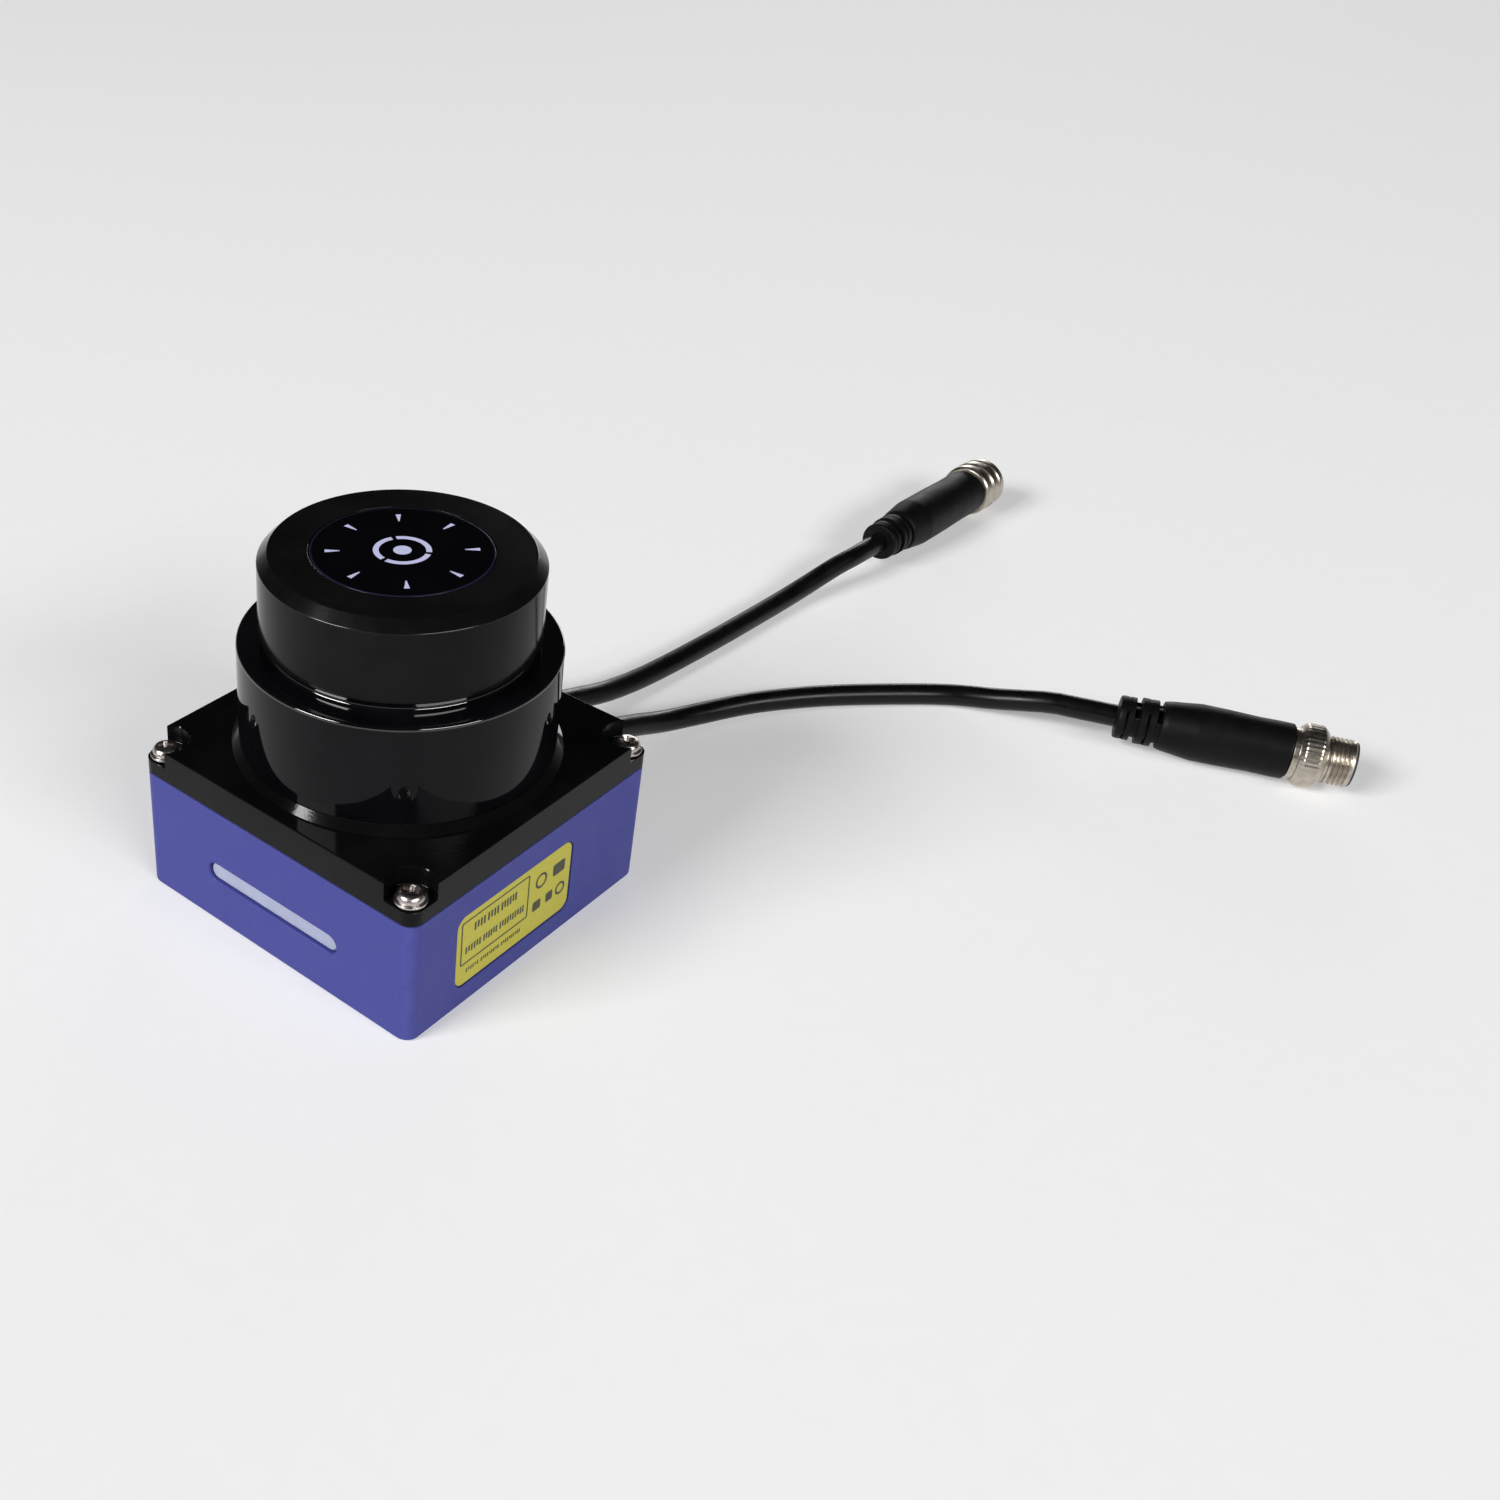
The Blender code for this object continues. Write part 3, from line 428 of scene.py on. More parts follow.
def window_plastic():
    polished_above = LEDGE_Z - 0.0006
    colour = (0.0022, 0.0022, 0.0030)
    return gloss_black("window_plastic", colour, 0.04, 0.07, 0.000004, (0.13, 1.0), polished_above)


def display_glass():
    """High-gloss disc with a faint violet band round its rim."""
    mat, tree, shader = principled("display_glass", (0.003, 0.003, 0.005), 0.04)
    split = tree.nodes.new("ShaderNodeSeparateXYZ")
    tree.links.new(position(tree), split.inputs[0])
    square = [maths(tree, "MULTIPLY", split.outputs[axis], split.outputs[axis]) for axis in ("X", "Y")]
    radius = maths(tree, "SQRT", maths(tree, "ADD", *square))
    rim = remap(tree, radius, 0.0187, 0.0190, 0.0, 1.0)
    haze = noise(tree, 70.0, 4.0, 0.6)
    glass = blend_colour(tree, haze, (0.0010, 0.0010, 0.0018), (0.0022, 0.0022, 0.0036))
    tint(tree, shader, rim, glass, (0.016, 0.014, 0.034))
    rough(tree, shader, haze, 0.3, 0.7, 0.03, 0.07)
    shader.inputs["Specular IOR Level"].default_value = 0.20
    return mat


def glowing_mark():
    mat, tree, shader = principled("glowing_mark", (0.26, 0.26, 0.38), 0.35)
    tint(tree, shader, noise(tree, 900.0, 2.0), (0.22, 0.22, 0.34), (0.32, 0.32, 0.44))
    shader.inputs["Emission Color"].default_value = (0.66, 0.68, 1.0, 1.0)
    shader.inputs["Emission Strength"].default_value = 0.42
    return mat


def light_guide():
    mat, tree, shader = principled("light_guide", (0.42, 0.46, 0.60), 0.35)
    tint(tree, shader, noise(tree, 220.0, 3.0), (0.31, 0.34, 0.47), (0.40, 0.43, 0.57))
    rough(tree, shader, noise(tree, 600.0, 2.0), 0.3, 0.7, 0.28, 0.42)
    bump(tree, shader, noise(tree, 2200.0, 2.0), 0.000012, 0.5)
    shader.inputs["Subsurface Weight"].default_value = 0.25
    shader.inputs["Subsurface Radius"].default_value = (0.0009, 0.0010, 0.0014)
    shader.inputs["Subsurface Scale"].default_value = 1.0
    return mat


def label_film():
    mat, tree, shader = principled("label_film", (0.50, 0.45, 0.05), 0.40)
    base = blend_colour(tree, noise(tree, 70.0, 3.0), (0.50, 0.452, 0.030), (0.55, 0.500, 0.042))
    fibre = remap(tree, noise(tree, 3000.0, 2.0), 0.35, 0.65, 0.0, 1.0)
    tint(tree, shader, fibre, (0.45, 0.405, 0.026), base)
    rough(tree, shader, noise(tree, 250.0, 3.0), 0.3, 0.7, 0.33, 0.46)
    bump(tree, shader, noise(tree, 600.0, 2.0), 0.00001, 0.4)
    return mat


def label_ink():
    mat, tree, shader = principled("label_ink", (0.03, 0.03, 0.02), 0.45)
    tint(tree, shader, noise(tree, 2500.0, 2.0), (0.020, 0.020, 0.014), (0.060, 0.056, 0.022))
    rough(tree, shader, noise(tree, 900.0, 2.0), 0.3, 0.7, 0.38, 0.55)
    return mat


def turned_metal(name, pale, dark, low, high):
    """Plated metal with fine machining streaks and slight tarnish."""
    mat, tree, shader = principled(name, pale, low, 1.0)
    cloud = remap(tree, noise(tree, 420.0, 4.0, 0.6), 0.35, 0.7, 0.0, 1.0)
    tint(tree, shader, cloud, dark, pale)
    streak = noise(tree, 900.0, 3.0, 0.6, (1.0, 1.0, 6.0))
    rough(tree, shader, streak, 0.3, 0.7, low, high)
    bump(tree, shader, streak, 0.000004, 0.4)
    return mat


def bright_steel():
    return turned_metal("bright_steel", (0.62, 0.58, 0.55), (0.44, 0.40, 0.38), 0.22, 0.36)


def nickel():
    return turned_metal("nickel", (0.60, 0.545, 0.470), (0.42, 0.375, 0.315), 0.25, 0.38)


def gold():
    return turned_metal("gold", (0.94, 0.66, 0.28), (0.80, 0.50, 0.18), 0.18, 0.32)


def aluminium():
    return turned_metal("aluminium", (0.66, 0.67, 0.68), (0.52, 0.53, 0.54), 0.28, 0.44)


def copper():
    return turned_metal("copper", (0.72, 0.36, 0.20), (0.52, 0.22, 0.12), 0.28, 0.42)


def mirror_coat():
    mat, tree, shader = principled("mirror_coat", (0.92, 0.92, 0.90), 0.03, 1.0)
    rough(tree, shader, noise(tree, 300.0, 3.0), 0.4, 0.8, 0.015, 0.05)
    tint(tree, shader, noise(tree, 120.0, 2.0), (0.90, 0.90, 0.89), (0.94, 0.94, 0.92))
    return mat


def lens_glass():
    mat, tree, shader = principled("lens_glass", (0.25, 0.10, 0.12), 0.05)
    tint(tree, shader, noise(tree, 150.0, 2.0), (0.20, 0.07, 0.10), (0.28, 0.12, 0.16))
    rough(tree, shader, noise(tree, 400.0, 2.0), 0.3, 0.7, 0.03, 0.08)
    return mat


def moulded(name, dark, pale, low, high, grain, depth, specular=0.5):
    """Matt or satin moulding with a fine spark-eroded grain."""
    mat, tree, shader = principled(name, dark, low)
    cloud = remap(tree, noise(tree, 110.0, 4.0, 0.6), 0.3, 0.7, 0.0, 1.0)
    fleck = remap(tree, noise(tree, grain * 1.3, 2.0), 0.55, 0.75, 0.0, 0.6)
    base = blend_colour(tree, cloud, dark, pale)
    lighter = tuple(c * 1.8 for c in pale)
    tint(tree, shader, fleck, base, lighter)
    rough(tree, shader, noise(tree, 220.0, 3.0), 0.3, 0.7, low, high)
    bump(tree, shader, noise(tree, grain, 3.0, 0.6), depth, 0.8)
    shader.inputs["Specular IOR Level"].default_value = specular
    return mat


def overmould():
    dark, pale = (0.0018, 0.0019, 0.0022), (0.0034, 0.0035, 0.0039)
    return moulded("overmould", dark, pale, 0.42, 0.54, 1900.0, 0.000030, 0.14)


def jacket():
    dark, pale = (0.0016, 0.0017, 0.0018), (0.0030, 0.0031, 0.0033)
    return moulded("jacket", dark, pale, 0.26, 0.36, 1500.0, 0.000012, 0.24)


def rubber():
    dark, pale = (0.016, 0.016, 0.017), (0.022, 0.022, 0.023)
    return moulded("rubber", dark, pale, 0.60, 0.75, 1700.0, 0.000030, 0.35)


def carrier_plastic():
    dark, pale = (0.020, 0.020, 0.022), (0.028, 0.028, 0.030)
    return moulded("carrier_plastic", dark, pale, 0.42, 0.55, 2100.0, 0.000015)


def circuit_board():
    mat, tree, shader = principled("circuit_board", (0.015, 0.085, 0.040), 0.45)
    weave = remap(tree, noise(tree, 1400.0, 2.0), 0.4, 0.6, 0.0, 1.0)
    tracks = remap(tree, noise(tree, 380.0, 1.0, 0.3, (1.0, 4.0, 1.0)), 0.52, 0.56, 0.0, 1.0)
    base = blend_colour(tree, weave, (0.010, 0.060, 0.028), (0.016, 0.085, 0.040))
    tint(tree, shader, tracks, base, (0.030, 0.150, 0.070))
    rough(tree, shader, noise(tree, 500.0, 2.0), 0.3, 0.7, 0.30, 0.45)
    return mat


MAKERS = {
    "blue_paint": blue_paint, "black_plastic": black_plastic, "cap_plastic": cap_plastic,
    "window_plastic": window_plastic, "display_glass": display_glass, "diffuser": glowing_mark,
    "light_guide": light_guide, "label_film": label_film, "label_ink": label_ink,
    "steel": bright_steel, "nickel": nickel, "gold": gold, "aluminium": aluminium, "copper": copper,
    "mirror_coat": mirror_coat, "lens_glass": lens_glass, "rubber": rubber, "jacket": jacket,
    "overmould": overmould, "circuit_board": circuit_board, "carrier_plastic": carrier_plastic,
}
made = {}


def material(name):
    if name not in made:
        made[name] = MAKERS[name]()
    return made[name]


# ============================================================================
# mesh helpers
# ============================================================================
def bridge(bm, lower, upper):
    count = max(len(lower), len(upper))
    for i in range(count):
        j = (i + 1) % count
        if len(lower) == 1:
            bm.faces.new((lower[0], upper[j], upper[i]))
        elif len(upper) == 1:
            bm.faces.new((lower[i], lower[j], upper[0]))
        else:
            bm.faces.new((lower[i], lower[j], upper[j], upper[i]))


def solid(bm):
    """A loose object from a bmesh, cleaned and facing out."""
    bmesh.ops.remove_doubles(bm, verts=bm.verts, dist=1e-8)
    bmesh.ops.recalc_face_normals(bm, faces=bm.faces)
    mesh = bpy.data.meshes.new("solid")
    bm.to_mesh(mesh)
    bm.free()
    obj = bpy.data.objects.new("solid", mesh)
    bpy.context.scene.collection.objects.link(obj)
    return obj


def lathe(profile, segments, shape=None, closed=True):
    """Turn (radius, height) points about Z; shape(radius, height, angle) may vary the radius."""
    bm = bmesh.new()
    rings = []
    for radius, height in profile:
        if radius < 1e-9:
            rings.append([bm.verts.new((0.0, 0.0, height))])
            continue
        ring = []
        for i in range(segments):
            a = 2.0 * math.pi * i / segments
            r = shape(radius, height, a) if shape else radius
            ring.append(bm.verts.new((r * math.cos(a), r * math.sin(a), height)))
        rings.append(ring)
    pairs = list(zip(rings, rings[1:]))
    if closed:
        pairs.append((rings[-1], rings[0]))
    for lower, upper in pairs:
        bridge(bm, lower, upper)
    return solid(bm)


def stack(layers):
    """Bridge equal-length outlines (lists of 3-D points) and close both ends."""
    bm = bmesh.new()
    rings = [[bm.verts.new(p) for p in layer] for layer in layers]
    for lower, upper in zip(rings, rings[1:]):
        bridge(bm, lower, upper)
    bm.faces.new(rings[0][::-1])
    bm.faces.new(rings[-1])
    return solid(bm)


def soften(points, steps=4, closed=True):
    """Round each (a, b, radius) corner of an outline; a plain (a, b) stays sharp."""
    out = []
    count = len(points)
    for i, point in enumerate(points):
        here = Vector(point[:2])
        radius = point[2] if len(point) > 2 else 0.0
        if radius == 0.0 or (not closed and i in (0, count - 1)):
            out.append(tuple(here))
            continue
        before = Vector(points[i - 1][:2]) - here
        after = Vector(points[(i + 1) % count][:2]) - here
        reach = radius / math.tan(before.angle(after) / 2.0)
        start, end = here + before.normalized() * reach, here + after.normalized() * reach
        for k in range(steps + 1):
            t = k / steps
            spot = (1.0 - t) ** 2 * start + 2.0 * t * (1.0 - t) * here + t * t * end
            out.append(tuple(spot))
    return out


def rounded(half_w, half_h, radius, steps=10):
    points = []
    corners = ((1, 1, 0), (-1, 1, 1), (-1, -1, 2), (1, -1, 3))
    for sx, sy, quarter in corners:
        for i in range(steps + 1):
            a = (quarter + i / steps) * math.pi / 2.0
            x = sx * (half_w - radius) + radius * math.cos(a)
            y = sy * (half_h - radius) + radius * math.sin(a)
            points.append((x, y))
    return points


def circle(radius, segments, x=0.0, y=0.0):
    turn = 2.0 * math.pi / segments
    return [(x + radius * math.cos(turn * i), y + radius * math.sin(turn * i)) for i in range(segments)]


def level(outline, z):
    return [(x, y, z) for x, y in outline]


def facing_front(outline, centre_x, centre_z, y):
    return [(centre_x + u, y, centre_z + v) for u, v in outline]


def facing_side(outline, centre_y, centre_z, x):
    return [(x, centre_y + u, centre_z + v) for u, v in outline]


def rod(x, y, z0, z1, radius, segments=40):
    outline = circle(radius, segments, x, y)
    return stack((level(outline, z0), level(outline, z1)))


def combine(obj, tools, operation):
    for tool in tools:
        mod = obj.modifiers.new("cut", "BOOLEAN")
        mod.operation = operation
        mod.solver = "EXACT"
        mod.object = tool
        depsgraph = bpy.context.evaluated_depsgraph_get()
        mesh = bpy.data.meshes.new_from_object(obj.evaluated_get(depsgraph))
        obj.modifiers.clear()
        obj.data = mesh
        bpy.data.objects.remove(tool, do_unlink=True)
    return obj


def cut(obj, *tools):
    return combine(obj, tools, "DIFFERENCE")


def join(obj, *tools):
    return combine(obj, tools, "UNION")


def merge(objects):
    """Put separate closed bodies in one object."""
    bm = bmesh.new()
    for obj in objects:
        bm.from_mesh(obj.data)
        bpy.data.objects.remove(obj, do_unlink=True)
    return solid(bm)


def four_corners(distance):
    return [(sx * distance, sy * distance) for sx in (-1, 1) for sy in (-1, 1)]


def moved(obj, matrix):
    obj.data.transform(matrix)
    return obj


def plug_frame(start, turn, distance=0.0):
    """Local Z laid along the floor direction `turn`, `distance` past `start`."""
    origin = Vector(start) + distance * Vector((math.cos(turn), math.sin(turn), 0.0))
    lying = Matrix.Rotation(turn, 4, "Z") @ Matrix.Rotation(math.pi / 2.0, 4, "Y")
    return Matrix.Translation(origin) @ lying


def show(obj, name, look, body, slot, *nodes, sharp=35.0, weighted=True):
    """Name, shade and dress a finished solid, and hang it on its body in place of the CAD nodes."""
    obj.name = name
    obj.data.name = name
    obj.data.materials.clear()
    obj.data.materials.append(material(look))
    for face in obj.data.polygons:
        face.use_smooth = True
        face.material_index = 0
    obj.data.set_sharp_from_angle(angle=math.radians(sharp))
    if weighted:
        mod = obj.modifiers.new("weighted", "WEIGHTED_NORMAL")
        mod.mode = "FACE_AREA"
        mod.weight = 90
        mod.keep_sharp = True
    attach(obj, body)
    if nodes:
        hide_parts(*nodes)
    return obj


# ============================================================================
# cables
# ============================================================================
def smooth_path(route, step):
    """Even samples of a Catmull-Rom curve through the route points."""
    points = [Vector(p) for p in route]
    points = [2.0 * points[0] - points[1], *points, 2.0 * points[-1] - points[-2]]
    fine = []
    for i in range(1, len(points) - 2):
        p0, p1, p2, p3 = points[i - 1:i + 3]
        for k in range(16):
            t = k / 16.0
            straight = 2.0 * p1 + (p2 - p0) * t
            bend = (2.0 * p0 - 5.0 * p1 + 4.0 * p2 - p3) * t * t
            twist = (3.0 * p1 - p0 - 3.0 * p2 + p3) * t * t * t
            fine.append(0.5 * (straight + bend + twist))
    fine.append(points[-2])
    lengths = [0.0]
    for a, b in zip(fine, fine[1:]):
        lengths.append(lengths[-1] + (b - a).length)
    count = max(2, round(lengths[-1] / step))
    samples = []
    j = 0
    for i in range(count + 1):
        want = lengths[-1] * i / count
        while j < len(lengths) - 2 and lengths[j + 1] < want:
            j += 1
        span = lengths[j + 1] - lengths[j]
        samples.append(fine[j].lerp(fine[j + 1], (want - lengths[j]) / span))
    return samples, lengths[-1]


def cable(index, route, with_pieces):
    samples, length = smooth_path(route, 0.0035)
    curve = bpy.data.curves.new(f"cord_{index}", "CURVE")
    curve.dimensions = "3D"
    curve.bevel_depth = CABLE_R
    curve.bevel_resolution = 8
    curve.use_fill_caps = True
    spline = curve.splines.new("POLY")
    spline.points.add(len(samples) - 1)
    for point, place in zip(spline.points, samples):
        point.co = (*place, 1.0)
    spline.use_smooth = True
    curve.materials.append(material("jacket"))
    obj = bpy.data.objects.new(f"cord_{index}", curve)
    bpy.context.scene.collection.objects.link(obj)
    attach(obj, "scanner")
    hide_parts(f"cable_{index}")


def gland(index, x):
    profile = soften((
        (0.0, 0.0), (0.0060, 0.0, 0.0003), (0.0060, 0.0020, 0.0003), (0.0050, 0.0020), (0.0050, 0.0058),
        (0.0065, 0.0058, 0.0002), (0.0065, 0.0072, 0.0005), (0.0051, 0.0080, 0.0004),
        (0.0048, 0.0100, 0.0002), (0.0040, 0.0100), (0.0040, 0.0112), (0.0047, 0.0112, 0.0002),
        (0.0044, 0.0134, 0.0002), (0.0037, 0.0134), (0.0037, 0.0146), (0.0043, 0.0146, 0.0002),
        (0.0040, 0.0168, 0.0002), (0.0035, 0.0168), (0.0035, 0.0178), (0.00385, 0.0178, 0.0002),
        (0.0037, GLAND_LEN, 0.0003), (0.0, GLAND_LEN),
    ), 3, False)
    obj = lathe(profile, 56, None, False)
    moved(obj, Matrix.Translation((x, GLAND_Y, EXIT_Z)) @ Matrix.Rotation(-math.pi / 2.0, 4, "X"))
    return show(obj, f"gland_{index}", "rubber", "scanner", "rubber", f"cable_gland_{index}")


# Slots of a bend relief: start, end, core radius left inside, and 1 when its webs face up and down.
RELIEF_SLOTS = (
    (0.0017, 0.0023, 0.0045, 1), (0.0036, 0.0051, 0.0034, 0),
    (0.0067, 0.0074, 0.0047, 1), (0.0089, 0.0102, 0.0042, 0),
)
RELIEF_R = 0.0056
RELIEF_BACK_R = 0.0060
RELIEF_STEP_AT = 0.0045
RELIEF_END = 0.0103
FLARE = 0.0085


def plug_body(index, start, turn, length):
    """Moulded plug: a bend relief of rings with crossed slots, then a long round grip."""
    slots = RELIEF_SLOTS
    nudge = 0.00001
    points = [(0.0, 0.0), (RELIEF_R - 0.0002, 0.0, 0.0004), (RELIEF_R, 0.0006)]
    for low, high, _, _ in slots:
        before = RELIEF_R if low < RELIEF_STEP_AT else RELIEF_BACK_R
        after = RELIEF_R if high < RELIEF_STEP_AT else RELIEF_BACK_R
        points += [(before, low - nudge), (before, low + nudge)]
        points += [(before, high - nudge), (after, high + nudge)]
    points += [(0.0061, RELIEF_END), (0.0064, 0.0114, 0.006), (PLUG_R, 0.0102 + FLARE, 0.008)]
    points += [(PLUG_R - 0.00008, length * 0.62, 0.03), (PLUG_R - 0.00030, length - 0.0080, 0.02)]
    points += [(0.00712, length - 0.0030), (0.00705, length, 0.0005), (0.0050, length), (0.0, length)]

    def slotted(radius, height, angle):
        for low, high, core, sideways in slots:
            if low < height < high:
                swing = abs(math.cos(angle)) if sideways else abs(math.sin(angle))
                web = min(1.0, max(0.0, (swing - 0.76) / 0.08))
                sunk = 0.0001 if sideways else 0.0005
                return core + (radius - sunk - core) * web
        return radius

    obj = lathe(soften(points, 5, False), 144, slotted, False)
    moved(obj, plug_frame(start, turn))
    return show(obj, f"plug_{index}", "overmould", "scanner", "overmould", f"plug_body_{index}")


def thread(low, high, crest, root, pitch=0.0010):
    """Right-hand thread form for lathe rows whose radius equals `crest`."""
    def shape(radius, height, angle):
        if abs(radius - crest) > 1e-7 or not low < height < high:
            return radius
        phase = (height / pitch - angle / (2.0 * math.pi)) % 1.0
        tooth = min(1.0, max(0.0, 1.5 * abs(2.0 * phase - 1.0) - 0.25))
        fade = min(1.0, (height - low) / pitch, (high - height) / pitch)
        return crest + (root - crest) * (1.0 - tooth) * fade
    return shape


def rows(radius, low, high, step):
    count = max(1, round((high - low) / step))
    return [(radius, low + (high - low) * i / count) for i in range(count + 1)]


def nut_1():
    """Socket-side nut: three smooth raised bands round two grooves, threaded bore forward."""
    crest, root = 0.0054, 0.0056
    outside = soften((
        (0.0071, NUT_LEN, 0.0003), (0.0077, NUT_LEN - 0.0008, 0.0009), (0.0078, 0.0086, 0.0006),
        (0.0074, 0.0082, 0.0003), (0.0074, 0.0076, 0.0003), (0.0080, 0.0071, 0.0006),
        (0.0080, 0.0047, 0.0006), (0.0075, 0.0042, 0.0003),
        (0.0075, 0.0036, 0.0003), (0.0080, 0.0031, 0.0006), (0.0080, 0.0009, 0.0008), (0.0073, 0.0, 0.0002),
    ), 5)
    bore = rows(crest, 0.0020, NUT_LEN - 0.0006, 0.000125)
    profile = [(0.0046, 0.0), (0.0046, 0.0015), (root, 0.0015), (root, 0.0019)] + bore + [(0.0057, NUT_LEN)]
    obj = lathe(profile + outside, 96, thread(0.0020, NUT_LEN - 0.0006, crest, root))
    moved(obj, plug_frame(PLUG_1_AT, PLUG_1_TURN, PLUG_1_LEN + GAP))
    return show(obj, "nut_1", "nickel", "coupling_nut", "nickel", "coupling_nut_1")


def ring_2():
    """Pin-side ring: knurled round grip, then a real 12 mm thread."""
    crest, root, teeth = 0.0060, 0.00545, 40
    cut_thread = thread(0.0083, 0.0134, crest, root)

    def shape(radius, height, angle):
        if radius > 0.0066:
            depth = 0.00009 * min(1.0, (radius - 0.0066) / 0.0010)
            return radius - depth * (0.5 - 0.5 * math.cos(teeth * angle))
        return cut_thread(radius, height, angle)

    grip = soften((
        (0.0058, 0.0), (0.0064, 0.0, 0.0001), (0.0064, 0.0014, 0.0002), (0.0070, 0.0014, 0.0003),
        (0.0080, 0.0024, 0.0010), (0.0080, 0.0060, 0.0012), (0.0068, 0.0072, 0.0004),
        (0.0060, 0.0072, 0.0002),
        (0.0057, 0.0076, 0.0002), (0.0057, 0.0081),
    ), 5, False)
    sleeve = rows(crest, 0.0083, 0.0134, 0.000125)
    profile = [(0.0047, 0.01365), (0.0047, 0.0)] + grip + sleeve + [(0.0057, 0.01365)]
    obj = lathe(profile, 240, shape)
    moved(obj, plug_frame(PLUG_2_AT, PLUG_2_TURN, PLUG_2_LEN + GAP))
    return show(obj, "ring_2", "nickel", "coupling_screw", "nickel", "coupling_screw_2")


def contacts(index, start, turn, past):
    """Contact block, and four gilt sockets or pins; the pin block also gets a shroud."""
    at = plug_frame(start, turn, past)
    radius, length = (0.0042, 0.0108) if index == 1 else (0.0043, 0.0070)
    side = ((0.0, 0.0), (radius, 0.0), (radius, length, 0.0003), (0.0, length))
    block = lathe(soften(side, 3, False), 48, None, False)
    metal = []
    for i in range(4):
        a = math.radians(45.0 + 90.0 * i)
        x, y = 0.0025 * math.cos(a), 0.0025 * math.sin(a)
        if index == 1:
            cut(block, rod(x, y, 0.0060, 0.0120, 0.00075, 20))
            tube = soften(((0.0005, 0.0062), (0.0007, 0.0062), (0.0007, 0.0106), (0.0005, 0.0106)), 1)
            metal.append(moved(lathe(tube, 20), Matrix.Translation((x, y, 0.0))))
        else:
            side = ((0.0, 0.0071), (0.0005, 0.0071), (0.0005, 0.0134, 0.0003), (0.0, 0.0134))
            pin = soften(side, 4, False)
            metal.append(moved(lathe(pin, 20, None, False), Matrix.Translation((x, y, 0.0))))
    if index == 2:
        shroud = soften((
            (0.0041, 0.0066), (0.00452, 0.0066), (0.00452, 0.01372), (0.00555, 0.01372),
            (0.00560, 0.01415, 0.0002), (0.0041, 0.01415, 0.0002),
        ), 3)
        join(block, lathe(shroud, 64))
    pins = moved(merge(metal), at)
    moved(block, at)
    kind = "sockets" if index == 1 else "pins"
    insert = f"contact_insert_{index}"
    show(block, f"contact_block_{index}", "carrier_plastic", "scanner", "carrier_plastic", insert)
    show(pins, f"contact_{kind}_{index}", "gold", "scanner", "copper")
    return [block, pins]


def seal_ring():
    centre_r, thick_r, at = 0.0049, 0.00033, 0.0026
    obj = lathe([(centre_r + x, at + z) for x, z in circle(thick_r, 12)], 48)
    moved(obj, plug_frame(PLUG_1_AT, PLUG_1_TURN, PLUG_1_LEN + GAP))
    return show(obj, "seal_ring_1", "rubber", "scanner", "rubber", "sealing_ring_1", sharp=80.0)


def add_cables():
    plug_1 = plug_body(1, PLUG_1_AT, PLUG_1_TURN, PLUG_1_LEN)
    plug_2 = plug_body(2, PLUG_2_AT, PLUG_2_TURN, PLUG_2_LEN)
    inner_1 = contacts(1, PLUG_1_AT, PLUG_1_TURN, PLUG_1_LEN + GAP)
    inner_2 = contacts(2, PLUG_2_AT, PLUG_2_TURN, PLUG_2_LEN + GAP)
    cable(1, ROUTE_1, [gland(1, -EXIT_X), plug_1, nut_1(), seal_ring(), *inner_1])
    cable(2, ROUTE_2, [gland(2, EXIT_X), plug_2, ring_2(), *inner_2])


# ============================================================================
# housing and cover
# ============================================================================
def housing_outline(drop, z):
    """The square outline with round corners, drawn in by `drop` at height z."""
    return level(rounded(BODY_HALF - drop, BODY_HALF - drop, BODY_CORNER - drop), z)


